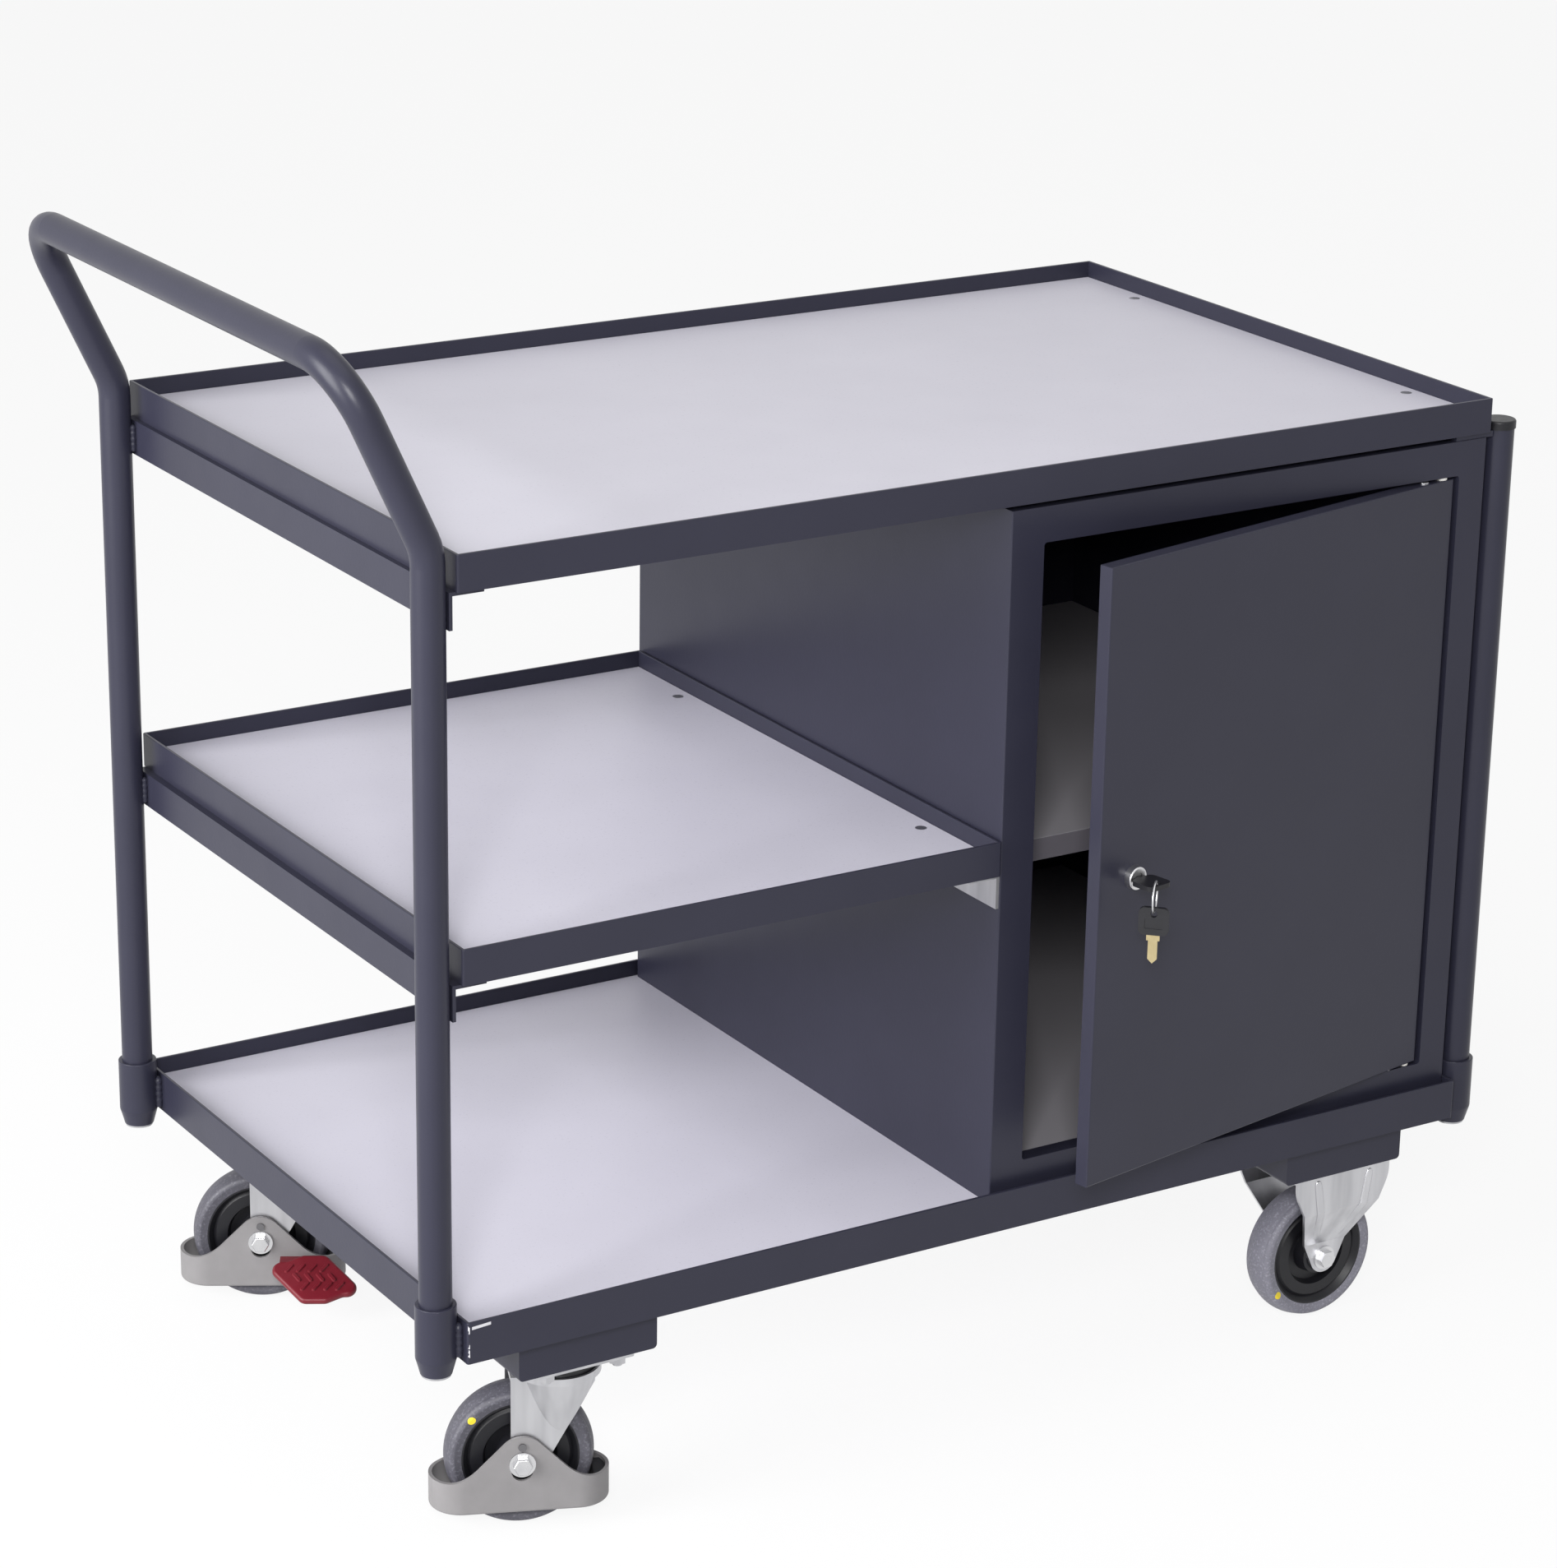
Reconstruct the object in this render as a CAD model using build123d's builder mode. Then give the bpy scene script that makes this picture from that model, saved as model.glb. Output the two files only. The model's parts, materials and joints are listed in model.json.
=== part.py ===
"""Workshop trolley with three decks, a lockable cabinet and four casters.

Millimetres, +Z up. The origin lies on the floor under the middle of the whole
trolley's box, +X points to the cabinet end and -Y to the side with the door.
Every sub-part is placed from the deck, the door, the lock or a caster, so that it
follows when one of the sizes below is changed.
"""

import os
from math import cos, radians, sin, sqrt, tan

from build123d import *

os.makedirs("parts", exist_ok=True)

# Decks
deck_length = 1000.0
deck_width = 600.0
top_rim_height = 860.0
middle_rim_height = 543.0
angle_leg = 30.0
angle_wall = 3.0
board_thickness = 12.0
board_gap = 0.5
tray_corner_radius = 2.0
rim_edge_radius = 0.8
middle_setback = 2.0
middle_end_gap = 1.0

# Base tray
base_width = 620.0
base_rim = 36.0
base_wall = 3.0
base_board_thickness = 18.0

# Posts, sockets and handle
tube_diameter = 26.9
tube_wall = 2.0
tube_plug_length = 14.0
rail_reach = 5.0
rail_setback = 4.0
post_inset = 12.0
socket_diameter = 33.7
socket_play = 0.15
socket_floor = 14.0
socket_drop = 11.5
socket_taper = 14.0
socket_taper_blend = 5.0
socket_rise = 13.0
socket_foot_diameter = 26.0
socket_screw_diameter = 8.0
socket_washer_diameter = 24.0
socket_washer_thickness = 2.0
socket_head_width = 13.0
socket_head_height = 1.5
handle_height = 1011.0
handle_kink_height = 862.0
handle_lean = 25.0
handle_bend_radius = 50.0
cap_diameter = 29.0
cap_height = 7.5
cap_edge_radius = 1.9
cap_plug_length = 16.0
cap_play = 0.1

# Fastening of the trays to what carries them
bar_thickness = 5.0
bar_width = 40.0
deck_screw_diameter = 5.0
deck_screw_head = 10.0
deck_screw_inset = 16.0
deck_screw_pitch = 405.0
deck_screw_tail = 4.0
countersink_angle = 90.0
screw_play = 0.1

# Cabinet
sheet = 1.5
cabinet_width = 493.0
cabinet_depth = 600.0
cabinet_setback = 3.0
cabinet_side_gap = 0.6
stile_left = 32.5
stile_right = 28.0
head_rail = 30.5
foot_rail = 33.5
return_depth = 15.0
stop_strip_width = 10.0
opening_corner_radius = 3.0
floor_drop = 6.0
shelf_height = 519.0
shelf_lip = 20.0
shelf_setback = 45.0
shelf_gap = 1.0
clip_length = 30.0
clip_leg = 12.0
clip_inset = 70.0

# Door, with its opening angle in the photo
door_thickness = 13.0
door_gap_lock_side = 2.5
door_gap_pivot_side = 5.0
door_gap_height = 2.5
door_lip = 12.0
door_edge_radius = 1.2
door_open_angle = 11.0
pivot_inset = 10.0
pivot_depth = 6.5
pivot_diameter = 5.0
pivot_head_diameter = 9.0
pivot_head_height = 3.5
pivot_reach = 9.0
pivot_play = 0.06
bush_diameter = 8.0
bush_flange_diameter = 11.0
bush_flange = 2.2
bush_depth = 7.0
plate_length = 44.0
plate_width = 9.0
plate_thickness = 2.5
rivet_pitch = 22.0
rivet_diameter = 4.0
rivet_head_diameter = 8.0
rivet_head_height = 1.4

# Lock and keys
lock_inset = 40.0
lock_height = 520.0
lock_flange_diameter = 20.0
lock_flange = 7.0
lock_flange_radius = 1.3
lock_barrel_diameter = 15.8
lock_barrel_length = 14.0
lock_nut_width = 22.0
lock_nut_height = 4.0
plug_diameter = 10.0
plug_length = 15.5
plug_recess = 0.75
running_play = 0.05
tang_width = 6.0
cam_thickness = 2.0
cam_start = 17.5
cam_reach = 46.0
cam_width = 14.0
cam_screw_diameter = 3.0
cam_screw_head = 9.0
cam_screw_depth = 1.5
key_blade_width = 7.8
key_blade_thickness = 2.2
key_blade_depth = 11.0
key_neck_width = 12.0
key_neck_length = 1.5
key_neck_start = 7.5
key_bow_width = 25.0
key_bow_length = 24.0
key_bow_thickness = 4.0
key_bow_radius = 5.0
key_hole_radius = 3.0
key_hole_inset = 5.5
bow_recess_width = 15.0
bow_recess_length = 8.5
bow_recess_depth = 0.6
ring_radius = 13.0
ring_wire_radius = 0.8
ring_drop = 6.0
ring_turn = 55.0
spare_hang = 1.5
spare_blade_length = 25.0
spare_shoulder_width = 11.0
spare_shoulder_length = 5.0

# Casters
caster_height = 160.0
swivel_inset_x = 115.0
fixed_inset_x = 103.0
caster_inset_y = 55.0
wheel_diameter = 125.0
tyre_width = 32.0
tyre_crown = 2.5
tyre_shoulder = 5.0
tyre_depth = 13.5
rim_width = 29.0
rim_edge = 1.5
rim_groove_depth = 5.0
rim_groove_width = 4.0
dish_width = 23.0
dish_outer_diameter = 82.0
dish_inner_diameter = 62.0
web_width = 9.0
web_slope = 2.5
hub_diameter = 36.0
hub_chamfer = 2.0
bearing_shoulder = 2.0
hub_width = 38.0
bearing_diameter = 24.0
bearing_width = 8.0
spacer_diameter = 12.0
axle_diameter = 8.0
axle_play = 0.2
axle_head_width = 14.0
axle_head_height = 5.5
axle_head_edge_radius = 1.2
axle_washer_diameter = 22.0
axle_washer_thickness = 1.6
fork_gap = 41.0
fork_wall = 3.0
plate_size_x = 105.0
plate_size_y = 90.0
swivel_plate_length = 100.0
top_plate_thickness = 4.0
plate_bolt_pitch_x = 84.0
plate_bolt_pitch_y = 66.0
plate_bolt_diameter = 8.0
bolt_head_width = 13.0
bolt_head_height = 5.5
bolt_tail = 2.5

# Swivel casters, with the way each one trails in the photo
trail = 32.0
near_trail_angle = 158.0
far_trail_angle = 151.0
race_diameter = 66.0
race_bore = 26.0
race_thickness = 10.0
race_skirt_wall = 3.0
race_skirt_gap = 1.0
ball_diameter = 6.0
ball_circle = 44.0
ball_count = 16
ball_play = 0.3
crown_thickness = 4.5
dust_rim_gap = 1.0
dust_rim_wall = 2.5
dust_rim_height = 2.0
shoulder_drop = 56.0
crown_lead = 28.5
fork_foot_radius = 9.0
fork_foot_lead = 20.0
kingpin_diameter = 12.0
kingpin_head_diameter = 20.0
kingpin_head_height = 7.0
kingpin_play = 0.2

# Brake: a loop guard that rocks on two pivots above the axle
guard_length = 150.0
guard_wall = 3.0
guard_gap = 1.0
guard_rim_bottom = 18.0
guard_rim = 28.0
cheek_radius = 20.0
cheek_centre_rise = 4.5
cheek_foot = 98.0
cheek_blend_radius = 42.0
guard_edge_radius = 2.5
guard_pivot_rise = 15.5
guard_pivot_diameter = 4.0
guard_pivot_head = 6.8
guard_pivot_head_height = 1.2
guard_pivot_play = 0.06
guard_slot_radius = 9.0
guard_slot_drop = 6.5
shoulder_diameter = 13.0
shoulder_play = 0.3
brake_angle = 5.0
brake_pad_gap = 0.5
brake_pad_width = 26.0
brake_pad_margin = 3.0
pedal_start = 1.0
pedal_edge = 59.0
pedal_skew = 38.0
pedal_reach = 58.0
pedal_step = 7.5
pedal_corner_radius = 9.0
pedal_thickness = 7.0
pedal_edge_radius = 3.2
pedal_slope = 26.0
pedal_hinge_height = 54.0
pedal_clear = 1.0
pedal_root = 26.0
pedal_root_depth = 12.0
pedal_root_height = 12.0
pedal_grip_length = 12.0
pedal_grip_width = 4.0
pedal_grip_height = 1.4
pedal_grip_taper = 30.0
pedal_grip_turn = 55.0
pedal_grip_pitch = 10.5
pedal_grip_rows = 3
pedal_grip_columns = 4

# Fixed casters
fixed_fork_top = 104.0
fixed_fork_foot_radius = 14.5
fixed_fork_shoulder = 14.0
fixed_fork_corner_radius = 35.0
fixed_fork_bend_drop = 36.0
fixed_fork_knee_rise = 15.5

# Caster rails under the base
swivel_rail_inset = 115.0
fixed_rail_inset = 111.0
rail_width = 128.0
rail_depth = 34.0
rail_wall = 3.0
rail_end_gap = 2.0
rail_bend_radius = 4.0

# Levels above the floor
base_bottom = caster_height + rail_depth
base_rim_top = base_bottom + base_rim
base_board_top = base_bottom + base_wall + base_board_thickness
top_tray_bottom = top_rim_height - angle_leg
middle_tray_bottom = middle_rim_height - angle_leg
cabinet_top = top_tray_bottom - bar_thickness
opening_bottom = base_board_top + foot_rail
opening_top = cabinet_top - head_rail
door_bottom = opening_bottom + door_gap_height
door_height = opening_top - door_gap_height - door_bottom
floor_top = opening_bottom - sheet - floor_drop
socket_bottom = base_bottom - socket_drop
socket_seat = socket_bottom + socket_floor
socket_top = base_rim_top + socket_rise

# Places measured from the middle of the deck
half_length = deck_length / 2
half_width = deck_width / 2
tube_radius = tube_diameter / 2
socket_radius = socket_diameter / 2
post_x = half_length + rail_reach + tube_radius
post_y = half_width - post_inset
base_half_length = post_x - socket_radius
cabinet_right = base_half_length - base_wall - cabinet_side_gap
cabinet_left = cabinet_right - cabinet_width
cabinet_middle = (cabinet_left + cabinet_right) / 2
cabinet_front = cabinet_setback - half_width
cabinet_back = cabinet_front + cabinet_depth
opening_left = cabinet_left + stile_left
opening_right = cabinet_right - stile_right
opening_width = opening_right - opening_left
opening_height = opening_top - opening_bottom
door_width = opening_width - door_gap_lock_side - door_gap_pivot_side
pivot_x = opening_right - door_gap_pivot_side - pivot_inset
pivot_y = cabinet_front + pivot_depth
middle_left = middle_setback - half_length
middle_right = cabinet_left - middle_end_gap
swivel_x = swivel_inset_x - half_length
fixed_x = half_length - fixed_inset_x
caster_y = half_width - caster_inset_y
wheel_radius = wheel_diameter / 2
handle_reach = (handle_height - handle_kink_height) * tan(radians(handle_lean))

# Places on the door, measured from its pivot axis, and out of its front face
lock_x = pivot_inset + lock_inset - door_width
bow_start = key_neck_start + key_neck_length
bow_end = bow_start + key_bow_length
ring_above = sqrt(ring_radius**2 - (ring_drop + key_bow_thickness / 2) ** 2)
ring_below = sqrt(ring_radius**2 - (ring_drop - key_bow_thickness / 2) ** 2)
ring_reach = (ring_above + ring_below) / 2
ring_side = -ring_reach * sin(radians(ring_turn))
ring_out = bow_end - key_hole_inset + ring_reach * cos(radians(ring_turn))

# The deck's middle, placed so that the origin is the middle of the whole box
door_turn = radians(door_open_angle)
handle_end = post_x + handle_reach + tube_radius
cabinet_end = post_x + socket_radius
spare_turn = radians(ring_turn) - door_turn
spare_middle = -pivot_y - sin(door_turn) * (lock_x + ring_side) + cos(door_turn) * (pivot_depth + ring_out)
spare_half = (key_bow_width * sin(spare_turn) + key_bow_thickness * cos(spare_turn)) / 2
near_side = max(spare_middle + spare_half, base_width / 2)
far_turn = sin(radians(far_trail_angle))
guard_half_width = fork_gap / 2 + fork_wall + guard_gap + guard_wall
guard_half_straight = guard_length / 2 - guard_half_width
guard_side = caster_y + (trail + guard_half_straight) * far_turn + guard_half_width
far_side = max(base_width / 2, cabinet_back, guard_side)
deck = Plane(((handle_end - cabinet_end) / 2, (near_side - far_side) / 2, 0))
door = Plane(
    deck.from_local_coords((pivot_x, pivot_y, 0)),
    x_dir=(cos(door_turn), sin(door_turn), 0),
    z_dir=(0, 0, 1),
)
lock = Plane(
    door.from_local_coords((lock_x, -pivot_depth, lock_height)),
    x_dir=door.x_dir,
    z_dir=-door.y_dir,
)

FLOOR_UP = (Align.CENTER, Align.CENTER, Align.MIN)
FLOOR_DOWN = (Align.CENTER, Align.CENTER, Align.MAX)


def save(piece, node):
    """Label a finished piece and write its STEP file."""
    piece.part.label = node
    export_step(piece.part, f"parts/{node}.step")


def level_at(place, x, y, z):
    """A level plane at a point of a place, turned as the place is."""
    return Plane(place.from_local_coords((x, y, z)), x_dir=place.x_dir, z_dir=place.z_dir)


def upright(place, y=0.0, x=0.0, z=0.0):
    """The vertical plane at a point of a place: x as the place's, y up, normal to -y."""
    origin = place.from_local_coords((x, y, z))
    return Plane(origin, x_dir=place.x_dir, z_dir=-place.y_dir)


def four_corners(x, y):
    """The four points at plus and minus x and y."""
    return [(-x, -y), (-x, y), (x, -y), (x, y)]


def make_tray(node, place, length, width, rim, wall, ledge, screw_spots):
    """An angle-steel frame: a rim all round and a ledge that the board lies on."""
    with BuildPart(place) as tray:
        with BuildSketch(place):
            RectangleRounded(length, width, tray_corner_radius)
            Rectangle(length - 2 * wall, width - 2 * wall, mode=Mode.SUBTRACT)
        extrude(amount=rim)
        with BuildSketch(place):
            Rectangle(length - wall, width - wall)
            Rectangle(length - 2 * ledge, width - 2 * ledge, mode=Mode.SUBTRACT)
        extrude(amount=wall)
        fillet(tray.faces().sort_by(Axis.Z)[-1].edges(), rim_edge_radius)
        if screw_spots:
            with Locations(*screw_spots):
                Cylinder(deck_screw_diameter / 2 + screw_play, 4 * wall, mode=Mode.SUBTRACT)
    save(tray, node)


def make_board(node, place, length, width, thickness, screw_spots):
    """A board that fills a tray, with countersunk holes where it is screwed down."""
    with BuildPart(place) as board:
        with BuildSketch(place):
            Rectangle(length - 2 * board_gap, width - 2 * board_gap)
        extrude(amount=thickness)
        if screw_spots:
            with Locations(*[(x, y, thickness) for x, y in screw_spots]):
                CounterSinkHole(
                    deck_screw_diameter / 2 + screw_play,
                    deck_screw_head / 2 + screw_play,
                    counter_sink_angle=countersink_angle,
                )
    save(board, node)


def make_angle(node, x, z, turn, holes):
    """An angle along Y: one leg flat under z, the other down from x; turn is 1 or -1."""
    length = deck_width - 2 * rail_setback
    with BuildPart() as angle:
        with BuildSketch(upright(deck, x=x, z=z)):
            with BuildLine():
                Polyline(
                    (0, 0),
                    (turn * angle_leg, 0),
                    (turn * angle_leg, -angle_wall),
                    (turn * angle_wall, -angle_wall),
                    (turn * angle_wall, -angle_leg),
                    (0, -angle_leg),
                    close=True,
                )
            make_face()
        extrude(amount=length / 2, both=True)
        if holes:
            with Locations(*[deck.from_local_coords((hx, hy, z)) for hx, hy in holes]):
                Cylinder(deck_screw_diameter / 2 + screw_play, 4 * angle_wall, mode=Mode.SUBTRACT)
    save(angle, node)


def make_screw(head_top, length):
    """A countersunk deck screw, hanging down from its head's top at the local point."""
    head_depth = (deck_screw_head - deck_screw_diameter) / 2 / tan(radians(countersink_angle / 2))
    with Locations((0, 0, head_top)):
        Cylinder(deck_screw_diameter / 2, length, align=FLOOR_DOWN)
    with Locations((0, 0, head_top - head_depth)):
        Cone(deck_screw_diameter / 2, deck_screw_head / 2, head_depth, align=FLOOR_UP)


# Trays and boards
top_spots = [(half_length - deck_screw_inset, side * deck_screw_pitch / 2) for side in (-1, 1)]
middle_length = middle_right - middle_left
middle_x = (middle_left + middle_right) / 2
middle_spots = [(middle_length / 2 - deck_screw_inset, side * deck_screw_pitch / 2) for side in (-1, 1)]

top_place = level_at(deck, 0, 0, top_tray_bottom)
make_tray("top_tray", top_place, deck_length, deck_width, angle_leg, angle_wall, angle_leg, top_spots)
make_board(
    "top_board",
    top_place.offset(angle_wall),
    deck_length - 2 * angle_wall,
    deck_width - 2 * angle_wall,
    board_thickness,
    top_spots,
)

middle_place = level_at(deck, middle_x, 0, middle_tray_bottom)
make_tray(
    "middle_tray", middle_place, middle_length, deck_width, angle_leg, angle_wall, angle_leg, middle_spots
)
make_board(
    "middle_board",
    middle_place.offset(angle_wall),
    middle_length - 2 * angle_wall,
    deck_width - 2 * angle_wall,
    board_thickness,
    middle_spots,
)

base_place = level_at(deck, 0, 0, base_bottom)
make_tray("base_tray", base_place, 2 * base_half_length, base_width, base_rim, base_wall, base_rim, [])
make_board(
    "base_board",
    base_place.offset(base_wall),
    2 * (base_half_length - base_wall),
    base_width - 2 * base_wall,
    base_board_thickness,
    [],
)

# Rails and bars that carry the trays
handle_rail_x = -half_length - rail_reach
support_holes = [(middle_x + x, y) for x, y in middle_spots]
make_angle("top_end_rail", handle_rail_x, top_tray_bottom, 1, [])
make_angle("middle_end_rail", handle_rail_x, middle_tray_bottom, 1, [])
make_angle("shelf_support_angle", cabinet_left, middle_tray_bottom, -1, support_holes)

bar_right = half_length + rail_reach
with BuildPart() as cross_bar:
    with BuildSketch(level_at(deck, bar_right - bar_width / 2, 0, cabinet_top)):
        Rectangle(bar_width, deck_width - 2 * rail_setback)
        with Locations(*[(x - bar_right + bar_width / 2, y) for x, y in top_spots]):
            Circle(deck_screw_diameter / 2 + screw_play, mode=Mode.SUBTRACT)
    extrude(amount=bar_thickness)
save(cross_bar, "top_cross_bar")

screw_places = [
    (*spot, top_tray_bottom, bar_thickness) for spot in top_spots
] + [
    (*spot, middle_tray_bottom, angle_wall + deck_screw_tail) for spot in support_holes
]
with BuildPart() as deck_screws:
    for x, y, tray_bottom, reach in screw_places:
        with Locations(level_at(deck, x, y, tray_bottom)):
            head_top = angle_wall + board_thickness
            make_screw(head_top, head_top + reach)
save(deck_screws, "deck_screws")

# Handle, posts, caps and sockets
with BuildPart() as handle:
    with BuildLine() as handle_path:
        FilletPolyline(
            deck.from_local_coords((-post_x, -post_y, socket_seat)),
            deck.from_local_coords((-post_x, -post_y, handle_kink_height)),
            deck.from_local_coords((-post_x - handle_reach, -post_y, handle_height)),
            deck.from_local_coords((-post_x - handle_reach, post_y, handle_height)),
            deck.from_local_coords((-post_x, post_y, handle_kink_height)),
            deck.from_local_coords((-post_x, post_y, socket_seat)),
            radius=handle_bend_radius,
        )
    with BuildSketch(level_at(deck, -post_x, -post_y, socket_seat)):
        Circle(tube_radius)
        Circle(tube_radius - tube_wall, mode=Mode.SUBTRACT)
    sweep(path=handle_path.line)
    with BuildSketch(deck.offset(socket_seat)):
        with Locations((-post_x, -post_y), (-post_x, post_y)):
            Circle(tube_radius - tube_wall / 2)
            Circle(socket_screw_diameter / 2 + screw_play, mode=Mode.SUBTRACT)
    extrude(amount=tube_plug_length)
save(handle, "handle_tube")

post_top = top_tray_bottom
with BuildPart() as cabinet_posts:
    with BuildSketch(deck.offset(socket_seat)):
        with Locations((post_x, -post_y), (post_x, post_y)):
            Circle(tube_radius)
            Circle(tube_radius - tube_wall, mode=Mode.SUBTRACT)
    extrude(amount=post_top - socket_seat)
    with BuildSketch(deck.offset(socket_seat)):
        with Locations((post_x, -post_y), (post_x, post_y)):
            Circle(tube_radius - tube_wall / 2)
            Circle(socket_screw_diameter / 2 + screw_play, mode=Mode.SUBTRACT)
    extrude(amount=tube_plug_length)
save(cabinet_posts, "cabinet_posts")

with BuildPart(deck.offset(post_top)) as post_caps:
    with Locations((post_x, -post_y), (post_x, post_y)):
        Cylinder(cap_diameter / 2, cap_height, align=FLOOR_UP)
    fillet(post_caps.faces().group_by(Axis.Z)[-1].edges(), cap_edge_radius)
    with Locations((post_x, -post_y), (post_x, post_y)):
        Cylinder(tube_radius - tube_wall - cap_play, cap_plug_length, align=FLOOR_DOWN)
save(post_caps, "post_caps")

with BuildPart(deck.offset(socket_bottom)) as sockets:
    with Locations(*four_corners(post_x, post_y)):
        Cone(socket_foot_diameter / 2, socket_radius, socket_taper, align=FLOOR_UP)
    with Locations(*[(x, y, socket_taper) for x, y in four_corners(post_x, post_y)]):
        Cylinder(socket_radius, socket_top - socket_bottom - socket_taper, align=FLOOR_UP)
    shoulders = sockets.edges().filter_by_position(
        Axis.Z, socket_bottom + socket_foot_diameter / 4, socket_bottom + 2 * socket_taper
    )
    fillet(shoulders.filter_by(GeomType.CIRCLE), socket_taper_blend)
    fillet(sockets.faces().group_by(Axis.Z)[-1].edges(), rim_edge_radius)
    with Locations(*[(x, y, socket_floor) for x, y in four_corners(post_x, post_y)]):
        Cylinder(
            tube_radius + socket_play,
            socket_top - socket_bottom,
            align=FLOOR_UP,
            mode=Mode.SUBTRACT,
        )
    with Locations(*four_corners(post_x, post_y)):
        Cylinder(
            socket_screw_diameter / 2 + screw_play,
            socket_floor,
            align=FLOOR_UP,
            mode=Mode.SUBTRACT,
        )
save(sockets, "post_sockets")

with BuildPart(deck.offset(socket_bottom)) as socket_screws:
    with Locations(*four_corners(post_x, post_y)):
        Cylinder(socket_screw_diameter / 2, socket_floor + tube_plug_length, align=FLOOR_UP)
        Cylinder(socket_washer_diameter / 2, socket_washer_thickness, align=FLOOR_DOWN)
    with BuildSketch(deck.offset(socket_bottom - socket_washer_thickness)):
        with Locations(*four_corners(post_x, post_y)):
            RegularPolygon(socket_head_width / 2, 6, major_radius=False)
    extrude(amount=-socket_head_height)
save(socket_screws, "socket_screws")


# Bolts of each plate: the swivel casters' plates lie across the trolley, the fixed ones along it
swivel_bolts = four_corners(plate_bolt_pitch_y / 2, plate_bolt_pitch_x / 2)
fixed_bolts = four_corners(plate_bolt_pitch_x / 2, plate_bolt_pitch_y / 2)


# Caster rails: folded channels with closed ends, open towards the base
def make_caster_rail(node, x, caster_x, plate_bolts):
    length = deck_width - 2 * rail_end_gap
    bolt_spots = [
        (caster_x - x + x_off, side * caster_y + y_off)
        for side in (-1, 1)
        for x_off, y_off in plate_bolts
    ]
    place = level_at(deck, x, 0, caster_height)
    with BuildPart(place) as rail:
        with BuildSketch(place):
            Rectangle(rail_width, length)
        extrude(amount=rail_depth)
        lower_edges = rail.faces().sort_by(Axis.Z)[0].edges().filter_by(Axis.Y)
        fillet(lower_edges, rail_bend_radius)
        with BuildSketch(place.offset(rail_wall)):
            Rectangle(rail_width - 2 * rail_wall, length - 2 * rail_wall)
        extrude(amount=rail_depth, mode=Mode.SUBTRACT)
        with Locations(*bolt_spots):
            Cylinder(plate_bolt_diameter / 2 + screw_play, 4 * rail_wall, mode=Mode.SUBTRACT)
    save(rail, node)


make_caster_rail("swivel_rail", swivel_rail_inset - half_length, swivel_x, swivel_bolts)
make_caster_rail("fixed_rail", half_length - fixed_rail_inset, fixed_x, fixed_bolts)

# Cabinet walls
cabinet_height = cabinet_top - base_board_top
wall_depth = cabinet_depth - sheet
wall_middle_y = cabinet_back - wall_depth / 2
for node, wall_x in (
    ("cabinet_left_wall", cabinet_left + sheet / 2),
    ("cabinet_right_wall", cabinet_right - sheet / 2),
):
    with BuildPart() as wall:
        with BuildSketch(level_at(deck, wall_x, wall_middle_y, base_board_top)):
            Rectangle(sheet, wall_depth)
        extrude(amount=cabinet_height)
    save(wall, node)

inner_width = cabinet_width - 2 * sheet
with BuildPart() as back:
    with BuildSketch(level_at(deck, cabinet_middle, cabinet_back - sheet / 2, base_board_top)):
        Rectangle(inner_width, sheet)
    extrude(amount=cabinet_height)
save(back, "cabinet_back")

inner_depth = cabinet_depth - 2 * sheet
inner_middle_y = cabinet_front + cabinet_depth / 2
for node, level in (("cabinet_roof", cabinet_top - sheet), ("cabinet_floor", floor_top - sheet)):
    with BuildPart() as panel:
        with BuildSketch(level_at(deck, cabinet_middle, inner_middle_y, level)):
            Rectangle(inner_width, inner_depth)
        extrude(amount=sheet)
    save(panel, node)

# Face frame: plate with the opening, returns round it and a stop strip on the lock side
opening_x = (opening_left + opening_right) / 2
opening_z = (opening_bottom + opening_top) / 2
with BuildPart() as front_frame:
    with BuildSketch(upright(deck, cabinet_front)):
        with Locations((cabinet_middle, base_board_top + cabinet_height / 2)):
            Rectangle(cabinet_width, cabinet_height)
    extrude(amount=-sheet)
    fillet(front_frame.faces().sort_by(Axis.Y)[0].edges().filter_by(Axis.Z), door_edge_radius)
    with BuildSketch(upright(deck, cabinet_front + sheet / 2)):
        with Locations((opening_x, opening_z)):
            Rectangle(opening_width + 2 * sheet, opening_height + 2 * sheet)
    extrude(amount=-return_depth)
    with BuildSketch(upright(deck, cabinet_front)):
        with Locations((opening_x, opening_z)):
            RectangleRounded(opening_width, opening_height, opening_corner_radius)
    extrude(amount=-2 * return_depth, mode=Mode.SUBTRACT)
    with BuildSketch(upright(deck, cabinet_front + sheet / 2 + return_depth)):
        with Locations((opening_left + stop_strip_width / 2 - sheet / 2, opening_z)):
            Rectangle(stop_strip_width + sheet, opening_height)
    extrude(amount=sheet)
    with Locations(
        deck.from_local_coords((pivot_x, pivot_y, opening_top)),
        deck.from_local_coords((pivot_x, pivot_y, opening_bottom)),
    ):
        Cylinder(pivot_diameter / 2 + screw_play, 4 * sheet, mode=Mode.SUBTRACT)
save(front_frame, "cabinet_front_frame")

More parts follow.
